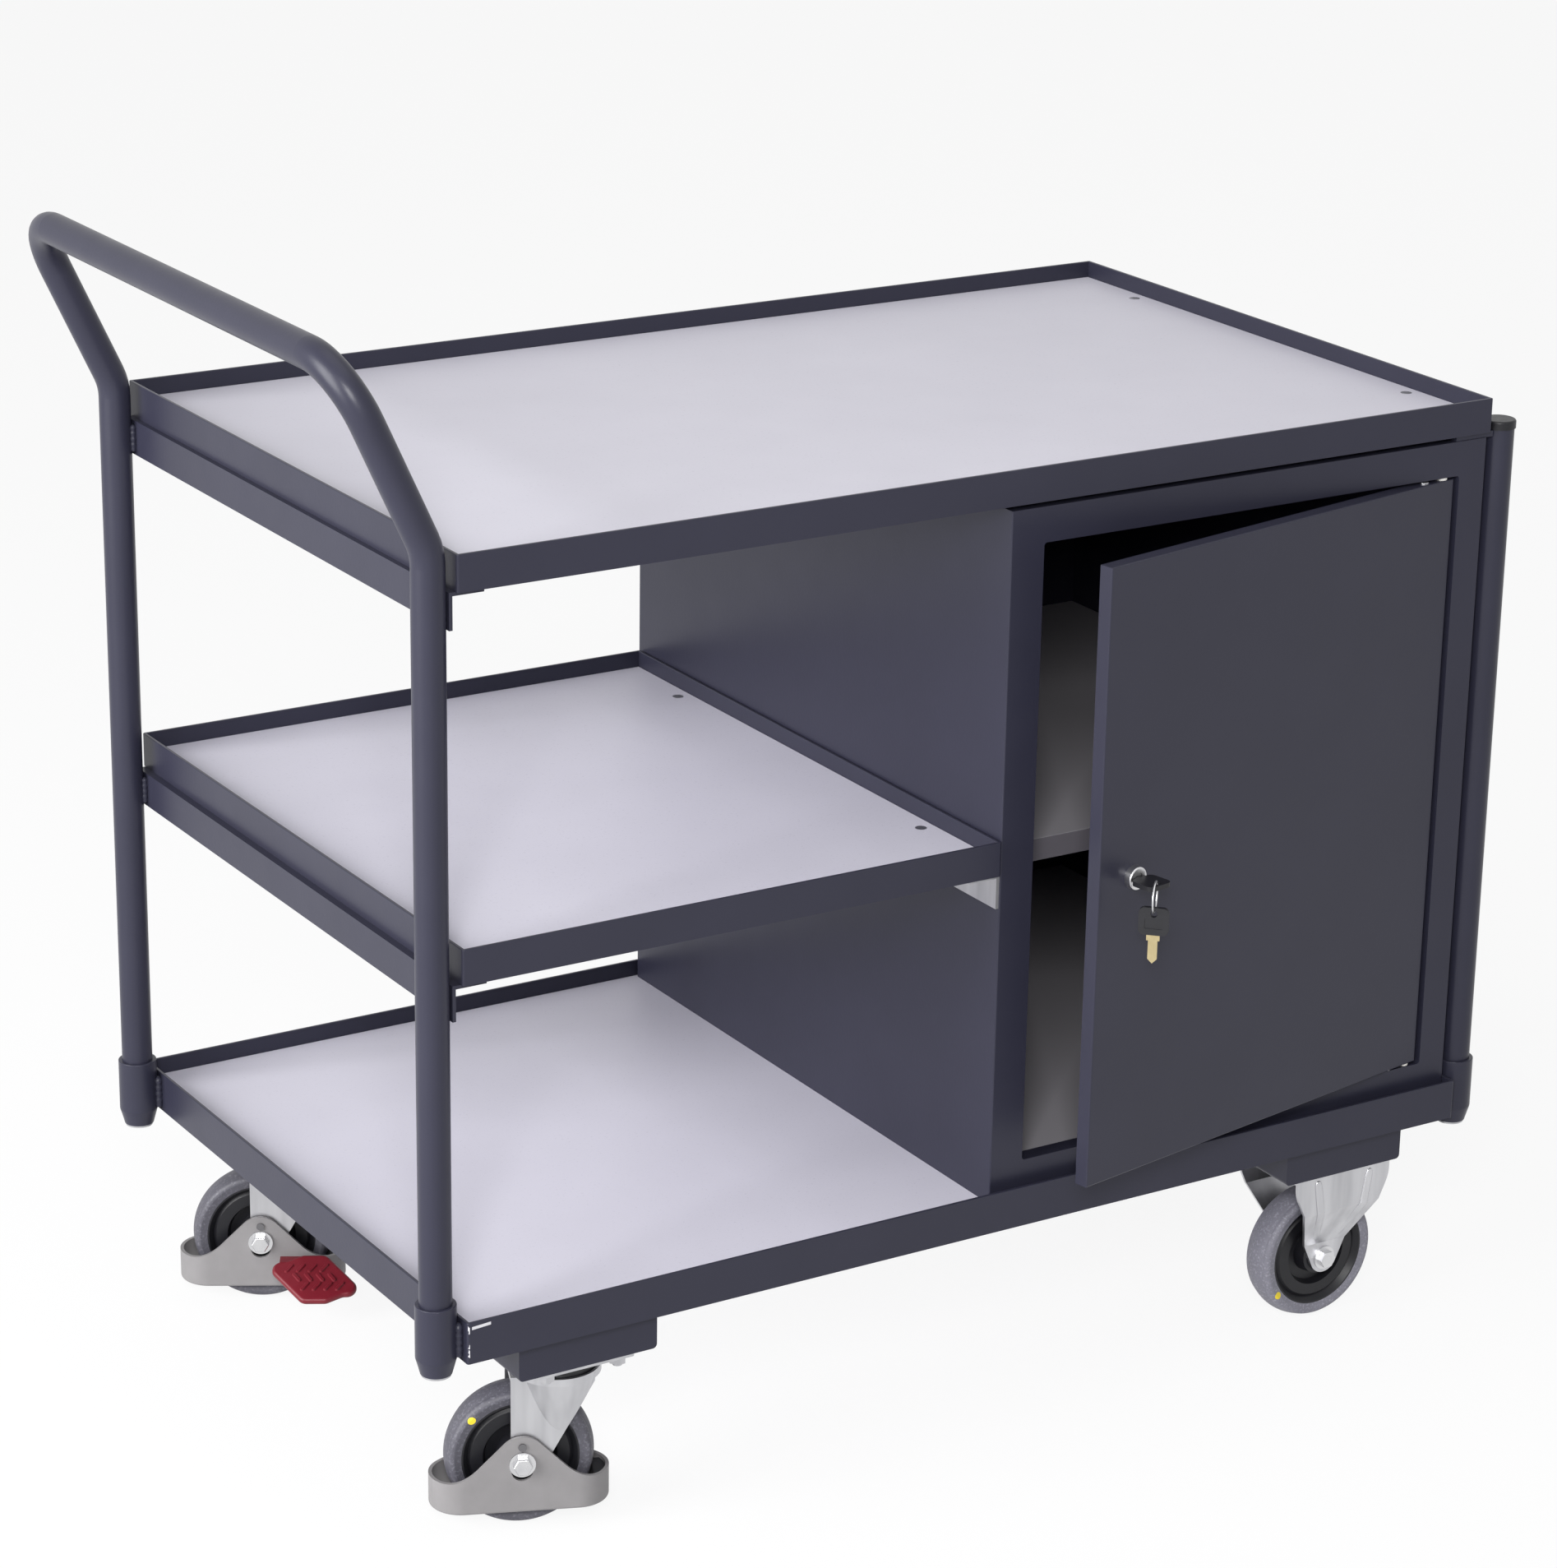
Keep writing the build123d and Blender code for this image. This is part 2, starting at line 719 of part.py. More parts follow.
# Shelf: a folded pan, lip down, on four clips
shelf_width = inner_width - 2 * shelf_gap
shelf_depth = cabinet_depth - shelf_setback - sheet - shelf_gap
shelf_y = cabinet_front + shelf_setback + shelf_depth / 2
shelf_place = level_at(deck, cabinet_middle, shelf_y, shelf_height - shelf_lip)
with BuildPart() as shelf:
    with BuildSketch(shelf_place):
        Rectangle(shelf_width, shelf_depth)
    extrude(amount=shelf_lip)
    fillet(shelf.faces().sort_by(Axis.Y)[0].edges().filter_by(Axis.X), rim_edge_radius)
    with BuildSketch(shelf_place):
        Rectangle(shelf_width - 2 * sheet, shelf_depth - 2 * sheet)
    extrude(amount=shelf_lip - sheet, mode=Mode.SUBTRACT)
save(shelf, "cabinet_shelf")

clip_y = shelf_depth / 2 - clip_inset
with BuildPart() as clips:
    for side in (-1, 1):
        wall_x = cabinet_middle + side * inner_width / 2
        for y in (shelf_y - clip_y, shelf_y + clip_y):
            with BuildSketch(upright(deck, y, wall_x, shelf_height - shelf_lip)):
                with BuildLine():
                    Polyline(
                        (0, 0),
                        (-side * clip_leg, 0),
                        (-side * clip_leg, -sheet),
                        (-side * sheet, -sheet),
                        (-side * sheet, -clip_leg),
                        (0, -clip_leg),
                        close=True,
                    )
                make_face()
            extrude(amount=clip_length / 2, both=True)
save(clips, "shelf_clips")

# Door: a pan with returns and lips, in the door's own place
door_middle = pivot_inset - door_width / 2
door_front = -pivot_depth
door_top = door_bottom + door_height
with BuildPart() as door_panel:
    with BuildSketch(upright(door, door_front)):
        with Locations((door_middle, door_bottom + door_height / 2)):
            Rectangle(door_width, door_height)
    extrude(amount=-door_thickness)
    front_face = door_panel.faces().sort_by(Axis(door.origin, door.y_dir))[0]
    fillet(front_face.edges(), door_edge_radius)
    with BuildSketch(upright(door, door_front + sheet)):
        with Locations((door_middle, door_bottom + door_height / 2)):
            Rectangle(door_width - 2 * sheet, door_height - 2 * sheet)
    extrude(amount=-(door_thickness - 2 * sheet), mode=Mode.SUBTRACT)
    with BuildSketch(upright(door, door_front + door_thickness - 2 * sheet)):
        with Locations((door_middle, door_bottom + door_height / 2)):
            Rectangle(door_width - 2 * door_lip, door_height - 2 * door_lip)
    extrude(amount=-3 * sheet, mode=Mode.SUBTRACT)
    with Locations(lock):
        Cylinder(lock_barrel_diameter / 2 + screw_play, 4 * sheet, mode=Mode.SUBTRACT)
    for level in (door_bottom, door_top):
        with Locations(level_at(door, 0, 0, level)):
            Cylinder(bush_diameter / 2 + screw_play, 4 * sheet, mode=Mode.SUBTRACT)
        with Locations(level_at(door, -rivet_pitch, 0, level)):
            Cylinder(rivet_diameter / 2 + screw_play, 4 * sheet, mode=Mode.SUBTRACT)
save(door_panel, "door_panel")

# Pivot plates, pins and bushes: made for the top of the door and turned over for the bottom
def pivot_places(level_top, level_bottom):
    """Places on the pivot axis whose z points out of the door's top and bottom edge."""
    return [
        Plane(door.from_local_coords((0, 0, level_top)), x_dir=door.x_dir, z_dir=(0, 0, 1)),
        Plane(door.from_local_coords((0, 0, level_bottom)), x_dir=door.x_dir, z_dir=(0, 0, -1)),
    ]


with BuildPart() as pivot_plates:
    for place in pivot_places(door_top, door_bottom):
        plate_middle = pivot_inset - 2 * sheet - plate_length / 2
        with BuildSketch(place.offset(-sheet)):
            with Locations((plate_middle, 0)):
                Rectangle(plate_length, plate_width)
            Circle(bush_diameter / 2 + screw_play, mode=Mode.SUBTRACT)
        extrude(amount=-plate_thickness)
        with Locations(level_at(place, -rivet_pitch, 0, 0)):
            Cylinder(rivet_diameter / 2, sheet + plate_thickness, align=FLOOR_DOWN)
            Cylinder(rivet_head_diameter / 2, rivet_head_height, align=FLOOR_UP)
save(pivot_plates, "door_pivot_plates")

with BuildPart() as pivot_pins:
    for place in pivot_places(opening_top + sheet, opening_bottom - sheet):
        with Locations(place):
            Cylinder(pivot_head_diameter / 2, pivot_head_height, align=FLOOR_UP)
            Cylinder(
                pivot_diameter / 2,
                sheet + door_gap_height + pivot_reach,
                align=FLOOR_DOWN,
            )
save(pivot_pins, "pivot_pins")

with BuildPart() as bushes:
    for place in pivot_places(door_top, door_bottom):
        with BuildSketch(place):
            Circle(bush_flange_diameter / 2)
            Circle(pivot_diameter / 2 + pivot_play, mode=Mode.SUBTRACT)
        extrude(amount=bush_flange)
        with BuildSketch(place):
            Circle(bush_diameter / 2)
            Circle(pivot_diameter / 2 + pivot_play, mode=Mode.SUBTRACT)
        extrude(amount=-bush_depth)
save(bushes, "pivot_bushes")

# Lock: housing with its nut, plug with the keyway, cam with its screw
with BuildPart() as housing:
    with BuildSketch(lock):
        Circle(lock_flange_diameter / 2)
        Circle(plug_diameter / 2 + running_play, mode=Mode.SUBTRACT)
    extrude(amount=lock_flange)
    outer_rim = housing.edges().filter_by(GeomType.CIRCLE).group_by(Axis(lock.origin, lock.z_dir))[-1]
    fillet(outer_rim.sort_by(SortBy.RADIUS)[-1], lock_flange_radius)
    with BuildSketch(lock):
        Circle(lock_barrel_diameter / 2)
        Circle(plug_diameter / 2 + running_play, mode=Mode.SUBTRACT)
    extrude(amount=-lock_barrel_length)
    with BuildSketch(lock.offset(-sheet - running_play)):
        RegularPolygon(lock_nut_width / 2, 6, major_radius=False)
        Circle(lock_barrel_diameter / 2 + running_play, mode=Mode.SUBTRACT)
    extrude(amount=-lock_nut_height)
save(housing, "lock_housing")

plug_front = lock_flange - plug_recess
cam_end = cam_start + cam_thickness
with BuildPart(lock) as plug:
    with Locations((0, 0, plug_front)):
        Cylinder(plug_diameter / 2, plug_front + plug_length, align=FLOOR_DOWN)
    with BuildSketch(lock.offset(-plug_length)):
        Rectangle(tang_width, tang_width)
    extrude(amount=-(cam_end - plug_length))
    with BuildSketch(lock.offset(plug_front)):
        Rectangle(key_blade_width + 2 * screw_play, key_blade_thickness + 2 * screw_play)
    extrude(amount=-(plug_front + key_blade_depth + screw_play), mode=Mode.SUBTRACT)
    with Locations((0, 0, -cam_end)):
        Cylinder(
            cam_screw_diameter / 2 + running_play,
            cam_end - plug_length + cam_screw_depth,
            align=FLOOR_UP,
            mode=Mode.SUBTRACT,
        )
save(plug, "lock_plug")

with BuildPart(lock) as cam:
    with BuildSketch(lock.offset(-cam_start)):
        with Locations((0, (cam_width / 2 - cam_reach) / 2)):
            SlotOverall(cam_reach + cam_width / 2, cam_width, rotation=90)
        Rectangle(tang_width + 2 * running_play, tang_width + 2 * running_play, mode=Mode.SUBTRACT)
    extrude(amount=-cam_thickness)
    with Locations((0, 0, -cam_end - running_play)):
        Cylinder(cam_screw_head / 2, cam_thickness, align=FLOOR_DOWN)
        Cylinder(cam_screw_diameter / 2, cam_end - plug_length, align=FLOOR_UP)
save(cam, "lock_cam")

# Keys: the one in the lock lies flat, the spare hangs from the ring, turned to the door's free edge
with BuildPart(lock) as key:
    with BuildSketch(lock.offset(-key_blade_depth)):
        Rectangle(key_blade_width, key_blade_thickness)
    extrude(amount=key_blade_depth + key_neck_start)
    with BuildSketch(Plane(lock.origin, x_dir=lock.x_dir, z_dir=-lock.y_dir)):
        with Locations((0, (bow_start + bow_end) / 2)):
            RectangleRounded(key_bow_width, key_bow_length, key_bow_radius)
        with Locations((0, (key_neck_start + bow_start + key_bow_radius) / 2)):
            Rectangle(key_neck_width, key_neck_length + key_bow_radius)
        with Locations((0, bow_end - key_hole_inset)):
            Circle(key_hole_radius, mode=Mode.SUBTRACT)
    extrude(amount=key_bow_thickness / 2, both=True)
save(key, "key")

spare_facing = lock.z_dir * cos(radians(ring_turn)) - lock.x_dir * sin(radians(ring_turn))
hang = Plane(
    lock.from_local_coords((ring_side, 0, ring_out)),
    x_dir=lock.y_dir.cross(spare_facing),
    z_dir=spare_facing,
)
ring_place = Plane(
    hang.from_local_coords((0, -ring_drop, 0)), x_dir=hang.z_dir, z_dir=hang.x_dir
)
with BuildPart(ring_place) as key_ring:
    Torus(ring_radius, ring_wire_radius)
save(key_ring, "key_ring")

spare_hole_y = -ring_drop - ring_radius - spare_hang
spare_bow_top = spare_hole_y + key_hole_inset
spare_bow_bottom = spare_bow_top - key_bow_length
with BuildPart() as spare_key:
    with BuildSketch(hang):
        with Locations((0, spare_bow_top - key_bow_length / 2)):
            RectangleRounded(key_bow_width, key_bow_length, key_bow_radius)
        with Locations((0, spare_hole_y)):
            Circle(key_hole_radius, mode=Mode.SUBTRACT)
    extrude(amount=key_bow_thickness / 2, both=True)
    for side in (-1, 1):
        with BuildSketch(hang.offset(side * key_bow_thickness / 2)):
            with Locations((0, spare_bow_bottom + key_hole_inset + bow_recess_length / 2)):
                Rectangle(bow_recess_width, bow_recess_length)
        extrude(amount=-side * bow_recess_depth, mode=Mode.SUBTRACT)
    with BuildSketch(hang):
        with Locations((0, spare_bow_bottom)):
            Rectangle(spare_shoulder_width, 2 * spare_shoulder_length)
        with BuildLine():
            Polyline(
                (-key_blade_width / 2, spare_bow_bottom),
                (-key_blade_width / 2, spare_bow_bottom - spare_blade_length + key_blade_width / 2),
                (0, spare_bow_bottom - spare_blade_length),
                (key_blade_width / 2, spare_bow_bottom - spare_blade_length + key_blade_width / 2),
                (key_blade_width / 2, spare_bow_bottom),
                close=True,
            )
        make_face()
    extrude(amount=key_blade_thickness / 2, both=True)
save(spare_key, "spare_key")


# Wheels: used by all four casters
def wheel_frame(place, ahead):
    """The axle's place at a caster: z along the axle, x as the caster's."""
    centre = place.from_local_coords((ahead, 0, wheel_radius))
    return Plane(centre, x_dir=place.x_dir, z_dir=place.y_dir)


def make_wheel(tyre_node, wheel_node, axle):
    """A grey tyre and its black wheel centre, turned about the axle."""
    rim_radius = wheel_radius - tyre_depth
    section = Plane(axle.origin, x_dir=axle.z_dir, z_dir=axle.x_dir)
    turning = Axis(axle.origin, axle.z_dir)
    half = tyre_width / 2
    tread = half - tyre_shoulder
    tread_edge = wheel_radius - tyre_crown
    side_edge = tread_edge - tyre_shoulder
    with BuildPart() as tyre:
        with BuildSketch(section):
            with BuildLine():
                ThreePointArc((-tread, tread_edge), (0, wheel_radius), (tread, tread_edge))
                CenterArc((tread, side_edge), tyre_shoulder, 0, 90)
                CenterArc((-tread, side_edge), tyre_shoulder, 90, 90)
                Polyline(
                    (half, side_edge),
                    (rim_width / 2, rim_radius),
                    (-rim_width / 2, rim_radius),
                    (-half, side_edge),
                )
            make_face()
        revolve(axis=turning)
    save(tyre, tyre_node)

    seat = bearing_diameter / 2 + running_play
    seat_start = hub_width / 2 - bearing_width
    hub_radius = hub_diameter / 2
    dish_inner = dish_inner_diameter / 2
    dish_outer = dish_outer_diameter / 2
    groove_radius = rim_radius - rim_edge - rim_groove_width
    with BuildPart() as wheel:
        with BuildSketch(section):
            with BuildLine():
                Polyline(
                    (0, seat - bearing_shoulder),
                    (seat_start, seat - bearing_shoulder),
                    (seat_start, seat),
                    (hub_width / 2, seat),
                    (hub_width / 2, hub_radius - hub_chamfer),
                    (hub_width / 2 - hub_chamfer, hub_radius),
                    (web_width / 2, hub_radius + hub_chamfer),
                    (web_width / 2, dish_inner - web_slope),
                    (dish_width / 2, dish_inner),
                    (dish_width / 2, dish_outer),
                    (rim_width / 2 - rim_groove_depth, groove_radius),
                    (rim_width / 2, rim_radius - rim_edge),
                    (rim_width / 2, rim_radius),
                    (0, rim_radius),
                )
                mirror(about=Plane.YZ)
            make_face()
        revolve(axis=turning)
    save(wheel, wheel_node)


def axle_solids(axle, shoulder_end):
    """Axle bolt, nut, spacer tube and bearings; shoulder_end is where the washers sit."""
    bore = axle_diameter / 2 + axle_play
    nut_bore = axle_diameter / 2 + running_play
    leg_face = fork_gap / 2 + fork_wall
    head_start = shoulder_end + axle_washer_thickness
    tip = head_start + axle_head_height
    with BuildPart() as solids:
        with BuildSketch(axle):
            Circle(spacer_diameter / 2)
            Circle(bore, mode=Mode.SUBTRACT)
        extrude(amount=fork_gap / 2 - running_play, both=True)
        for side in (-1, 1):
            with BuildSketch(axle.offset(side * (hub_width / 2 - bearing_width))):
                Circle(bearing_diameter / 2)
                Circle(spacer_diameter / 2 + running_play, mode=Mode.SUBTRACT)
            extrude(amount=side * bearing_width)
        with BuildSketch(axle.offset(-tip)):
            Circle(axle_diameter / 2)
        extrude(amount=tip + head_start)
        with BuildSketch(axle.offset(head_start)):
            RegularPolygon(axle_head_width / 2, 6, major_radius=False)
        extrude(amount=axle_head_height)
        head_top = solids.faces().sort_by(Axis(axle.origin, axle.z_dir))[-1]
        fillet(head_top.edges(), axle_head_edge_radius)
        with BuildSketch(axle.offset(shoulder_end)):
            Circle(axle_washer_diameter / 2)
        extrude(amount=axle_washer_thickness)
        with BuildSketch(axle.offset(-shoulder_end)):
            Circle(axle_washer_diameter / 2)
            Circle(nut_bore, mode=Mode.SUBTRACT)
        extrude(amount=-axle_washer_thickness)
        with BuildSketch(axle.offset(-head_start)):
            RegularPolygon(axle_head_width / 2, 6, major_radius=False)
            Circle(nut_bore, mode=Mode.SUBTRACT)
        extrude(amount=-axle_head_height)
        if shoulder_end > leg_face:
            with BuildSketch(axle.offset(leg_face)):
                Circle(shoulder_diameter / 2)
            extrude(amount=shoulder_end - leg_face)
            with BuildSketch(axle.offset(-leg_face)):
                Circle(shoulder_diameter / 2)
                Circle(nut_bore, mode=Mode.SUBTRACT)
            extrude(amount=leg_face - shoulder_end)
    return solids.part


# Swivel casters
plate_bottom = caster_height - top_plate_thickness
race_bottom = plate_bottom - race_thickness
crown_top = race_bottom - ball_diameter - ball_play
crown_bottom = crown_top - crown_thickness
crown_radius = race_diameter / 2 + dust_rim_gap + dust_rim_wall
leg_outer = fork_gap / 2 + fork_wall
guard_inner = leg_outer + guard_gap
guard_outer = guard_inner + guard_wall
guard_shoulder = guard_outer + shoulder_play
guard_rim_top = guard_rim_bottom + guard_rim
guard_pivot_height = wheel_radius + guard_pivot_rise


def caster_place(x, y, angle):
    """A caster's place on the floor, x pointing the way that its wheel trails."""
    turn = radians(angle)
    origin = deck.from_local_coords((x, y, 0))
    return Plane(origin, x_dir=(cos(turn), sin(turn), 0), z_dir=(0, 0, 1))


def leg_outline():
    """A swivel fork's leg seen from the side: from the crown down to two rounds at the axle."""
    foot_lead_x = trail - fork_foot_lead + fork_foot_radius
    with BuildSketch() as outline:
        with Locations((trail, wheel_radius), (foot_lead_x, wheel_radius)):
            Circle(fork_foot_radius)
        with Locations(((trail + fork_foot_radius - crown_lead) / 2, crown_bottom)):
            Rectangle(trail + fork_foot_radius + crown_lead, crown_thickness)
        make_hull()
    return outline.sketch


def fork_shoulders():
    """The two round shoulders that lead from the crown's rim into the legs, about the swivel axis."""
    with BuildPart() as shoulders:
        with Locations((0, 0, crown_bottom)):
            Cone(fork_gap / 2, crown_radius, shoulder_drop, align=FLOOR_DOWN)
        with BuildSketch(upright(Plane.XY)):
            add(leg_outline())
        extrude(amount=crown_radius, both=True, mode=Mode.INTERSECT)
        with BuildSketch(Plane.XY.offset(crown_bottom)):
            Rectangle(4 * crown_radius, fork_gap + fork_wall)
        extrude(amount=-shoulder_drop, mode=Mode.SUBTRACT)
    return shoulders.part


def make_fork(node, place):
    """The swivelling fork: crown with a dust rim, and two legs that taper to the axle."""
    shoulders = fork_shoulders()
    with BuildPart(place) as fork:
        with BuildSketch(place.offset(crown_bottom)):
            Circle(crown_radius)
            with Locations(((trail + fork_foot_radius - crown_lead) / 2, 0)):
                Rectangle(trail + fork_foot_radius + crown_lead, 2 * leg_outer)
        extrude(amount=crown_thickness)
        with BuildSketch(place.offset(crown_top)):
            Circle(crown_radius)
            Circle(crown_radius - dust_rim_wall, mode=Mode.SUBTRACT)
        extrude(amount=dust_rim_height)
        add(shoulders)
        for y in (leg_outer, -fork_gap / 2):
            with BuildSketch(upright(place, y)):
                add(leg_outline())
                with Locations((trail, wheel_radius)):
                    Circle(axle_diameter / 2 + axle_play, mode=Mode.SUBTRACT)
                with Locations((trail, guard_pivot_height)):
                    Circle(guard_pivot_diameter / 2 + screw_play, mode=Mode.SUBTRACT)
            extrude(amount=fork_wall)
        with Locations((0, 0, crown_bottom)):
            Cylinder(kingpin_diameter / 2 + running_play, 8 * crown_thickness, mode=Mode.SUBTRACT)
    save(fork, node)


def make_swivel_axle(node, place):
    """The axle set with the guard's two pivot rivets."""
    axle = axle_solids(wheel_frame(place, trail), guard_shoulder)
    with BuildPart() as axle_set:
        add(axle)
        for side in (-1, 1):
            pivot = place.from_local_coords((trail, side * fork_gap / 2, guard_pivot_height))
            with Locations(Plane(pivot, x_dir=place.x_dir, z_dir=place.y_dir * side)):
                Cylinder(guard_pivot_diameter / 2, guard_shoulder - fork_gap / 2, align=FLOOR_UP)
            head = place.from_local_coords((trail, side * guard_shoulder, guard_pivot_height))
            with Locations(Plane(head, x_dir=place.x_dir, z_dir=place.y_dir * side)):
                Cylinder(guard_pivot_head / 2, guard_pivot_head_height, align=FLOOR_UP)
    save(axle_set, node)


def make_guard(node, place):
    """The loop round the wheel, whose wall rises to a hump on each side of the fork."""
    cheek_top = wheel_radius + cheek_centre_rise + cheek_radius
    with BuildPart(place) as guard:
        with BuildSketch(place.offset(guard_rim_bottom)):
            with Locations((trail, 0)):
                SlotOverall(guard_length, 2 * guard_outer)
                SlotOverall(guard_length - 2 * guard_wall, 2 * guard_inner, mode=Mode.SUBTRACT)
        extrude(amount=cheek_top - guard_rim_bottom)
        fillet(guard.faces().sort_by(Axis.Z)[0].outer_wire().edges(), guard_edge_radius)
        with BuildSketch(upright(place)) as profile:
            with Locations((trail, wheel_radius + cheek_centre_rise)):
                Circle(cheek_radius)
            with Locations((trail, guard_rim_top - guard_wall)):
                Rectangle(cheek_foot, 2 * guard_wall)
            make_hull()
            with Locations((trail, guard_rim_top - guard_rim / 2)):
                Rectangle(guard_length, guard_rim)
            foot_corners = profile.vertices().filter_by(
                lambda corner: abs(corner.X - trail) < guard_length / 2 - guard_wall and corner.Y < wheel_radius
            )
            fillet(foot_corners.group_by(Axis.Y)[-1], cheek_blend_radius)
            with Locations((trail, wheel_radius - guard_slot_drop / 2)):
                SlotCenterToCenter(guard_slot_drop, 2 * guard_slot_radius, rotation=90, mode=Mode.SUBTRACT)
            with Locations((trail, guard_pivot_height)):
                Circle(guard_pivot_diameter / 2 + guard_pivot_play, mode=Mode.SUBTRACT)
        extrude(amount=guard_outer, both=True, mode=Mode.INTERSECT)
    save(guard, node)


def make_brake_pad(node, place):
    """The block in the guard's leading end; its face meets the tyre with the brake on."""
    swing = radians(brake_angle)
    face_x = trail - guard_pivot_rise * sin(swing)
    face_z = guard_pivot_height - guard_pivot_rise * cos(swing)
    with BuildPart(place) as pad:
        with BuildSketch(place.offset(guard_rim_bottom + brake_pad_margin)):
            with Locations((trail, 0)):
                SlotOverall(guard_length - 2 * guard_wall, 2 * guard_inner)
            with Locations((trail - guard_length / 2, 0)):
                Rectangle(guard_length, brake_pad_width, mode=Mode.INTERSECT)
        extrude(amount=guard_rim - 2 * brake_pad_margin)
        with BuildSketch(upright(place)):
            with Locations((face_x, face_z)):
                Circle(wheel_radius + brake_pad_gap)
        extrude(amount=guard_outer, both=True, mode=Mode.SUBTRACT)
    save(pad, node)


def make_pedal(node, place):
    """The pedal at the guard's outer side: a sloping plate with raised grips, on a short root."""
    slope = radians(pedal_slope)
    hinge = place.from_local_coords((trail, guard_outer, pedal_hinge_height))
    ahead = place.x_dir * -1
    outward = place.y_dir * cos(slope) + Vector(0, 0, -sin(slope))
    leaf = Plane(hinge, x_dir=ahead, z_dir=ahead.cross(outward))
    inner = pedal_thickness * tan(slope) + pedal_clear
    middle = pedal_start + pedal_edge / 2
    end = pedal_start + pedal_edge
    root_top = pedal_hinge_height - pedal_root_depth * tan(slope)
    lean = pedal_skew / (pedal_reach - inner)
    rows = [(step - (pedal_grip_rows - 1) / 2) * pedal_grip_pitch for step in range(pedal_grip_rows)]
    columns = [(step - (pedal_grip_columns - 1) / 2) * pedal_grip_pitch for step in range(pedal_grip_columns)]
    with BuildPart() as pedal:
        with BuildSketch(leaf):
            with BuildLine():
                FilletPolyline(
                    (pedal_start, inner + pedal_step),
                    (middle - pedal_step, inner + pedal_step),
                    (middle + pedal_step, inner),
                    (end, inner),
                    (end + pedal_skew, pedal_reach - pedal_step),
                    (middle + pedal_skew + pedal_step, pedal_reach - pedal_step),
                    (middle + pedal_skew - pedal_step, pedal_reach),
                    (pedal_start + pedal_skew, pedal_reach),
                    radius=pedal_corner_radius,
                    close=True,
                )
            make_face()
        extrude(amount=pedal_thickness)
        fillet(pedal.edges(), pedal_edge_radius)
        for row, out in enumerate(rows):
            turn = pedal_grip_turn if row % 2 else -pedal_grip_turn
            grip_x = middle + pedal_skew / 2 + out * lean
            grip_y = (inner + pedal_reach) / 2 + out
            with BuildSketch(leaf):
                with Locations(*[(grip_x + along, grip_y) for along in columns]):
                    SlotOverall(pedal_grip_length, pedal_grip_width, rotation=turn)
            extrude(amount=-pedal_grip_height, taper=pedal_grip_taper)
        with BuildSketch(upright(place, guard_outer)):
            with Locations((trail - middle, root_top - pedal_root_height / 2)):
                Rectangle(pedal_root, pedal_root_height)
        extrude(amount=-pedal_root_depth)
    save(pedal, node)


swivel_spots = [(swivel_x, -caster_y), (swivel_x, caster_y)]
with BuildPart() as caster_plates:
    with BuildSketch(deck.offset(plate_bottom)):
        with Locations(*swivel_spots):
            RectangleRounded(plate_size_y, swivel_plate_length, tray_corner_radius)
        with Locations(*swivel_spots):
            Circle(kingpin_diameter / 2 + running_play, mode=Mode.SUBTRACT)
            with Locations(*swivel_bolts):
                Circle(plate_bolt_diameter / 2 + screw_play, mode=Mode.SUBTRACT)
    extrude(amount=top_plate_thickness)
    with BuildSketch(deck.offset(plate_bottom)):
        with Locations(*swivel_spots):
            Circle(race_diameter / 2)
            Circle(race_bore / 2, mode=Mode.SUBTRACT)
    extrude(amount=-race_thickness)
    with BuildSketch(deck.offset(race_bottom)):
        with Locations(*swivel_spots):
            Circle(race_diameter / 2)
            Circle(race_diameter / 2 - race_skirt_wall, mode=Mode.SUBTRACT)
    extrude(amount=crown_top + race_skirt_gap - race_bottom)
save(caster_plates, "caster_plates")

with BuildPart(deck.offset(caster_height)) as kingpins:
    with Locations(*swivel_spots):
        Cylinder(kingpin_diameter / 2, caster_height - crown_bottom + kingpin_play, align=FLOOR_DOWN)
    with Locations(*[(x, y, crown_bottom - kingpin_play - caster_height) for x, y in swivel_spots]):
        Cylinder(kingpin_head_diameter / 2, kingpin_head_height, align=FLOOR_DOWN)
save(kingpins, "kingpins")

with BuildPart(deck.offset(race_bottom - ball_diameter / 2)) as swivel_balls:
    with Locations(*swivel_spots):
        with PolarLocations(ball_circle / 2, ball_count):
            Sphere(ball_diameter / 2)
save(swivel_balls, "swivel_balls")

for name, spot, angle in (
    ("near", swivel_spots[0], near_trail_angle),
    ("far", swivel_spots[1], far_trail_angle),
):
    place = caster_place(*spot, angle)
    make_fork(f"{name}_fork", place)
    make_swivel_axle(f"{name}_axle", place)
    make_wheel(f"{name}_tyre", f"{name}_wheel", wheel_frame(place, trail))
    make_guard(f"{name}_guard", place)
    make_brake_pad(f"{name}_brake_pad", place)
make_pedal("far_pedal", caster_place(*swivel_spots[1], far_trail_angle))

# Fixed casters
def fixed_leg_section(place, side):
    """The leg's section: down from the plate's edge, in towards the axle, then past it."""
    bend = plate_bottom - fixed_fork_bend_drop
    knee = wheel_radius + fixed_fork_knee_rise
    foot = wheel_radius - fixed_fork_foot_radius
    edge = plate_size_y / 2
    inner = leg_outer - fork_wall
    with BuildSketch(Plane(place.origin, x_dir=place.y_dir * side, z_dir=place.x_dir * side)) as section:
        with BuildLine():
            Polyline(
                (edge - fork_wall, plate_bottom),
                (edge, plate_bottom),
                (edge, bend),
                (leg_outer, knee),
                (leg_outer, foot),
                (inner, foot),
                (inner, knee),
                (edge - fork_wall, bend),
                close=True,
            )
        make_face()
    return section.sketch


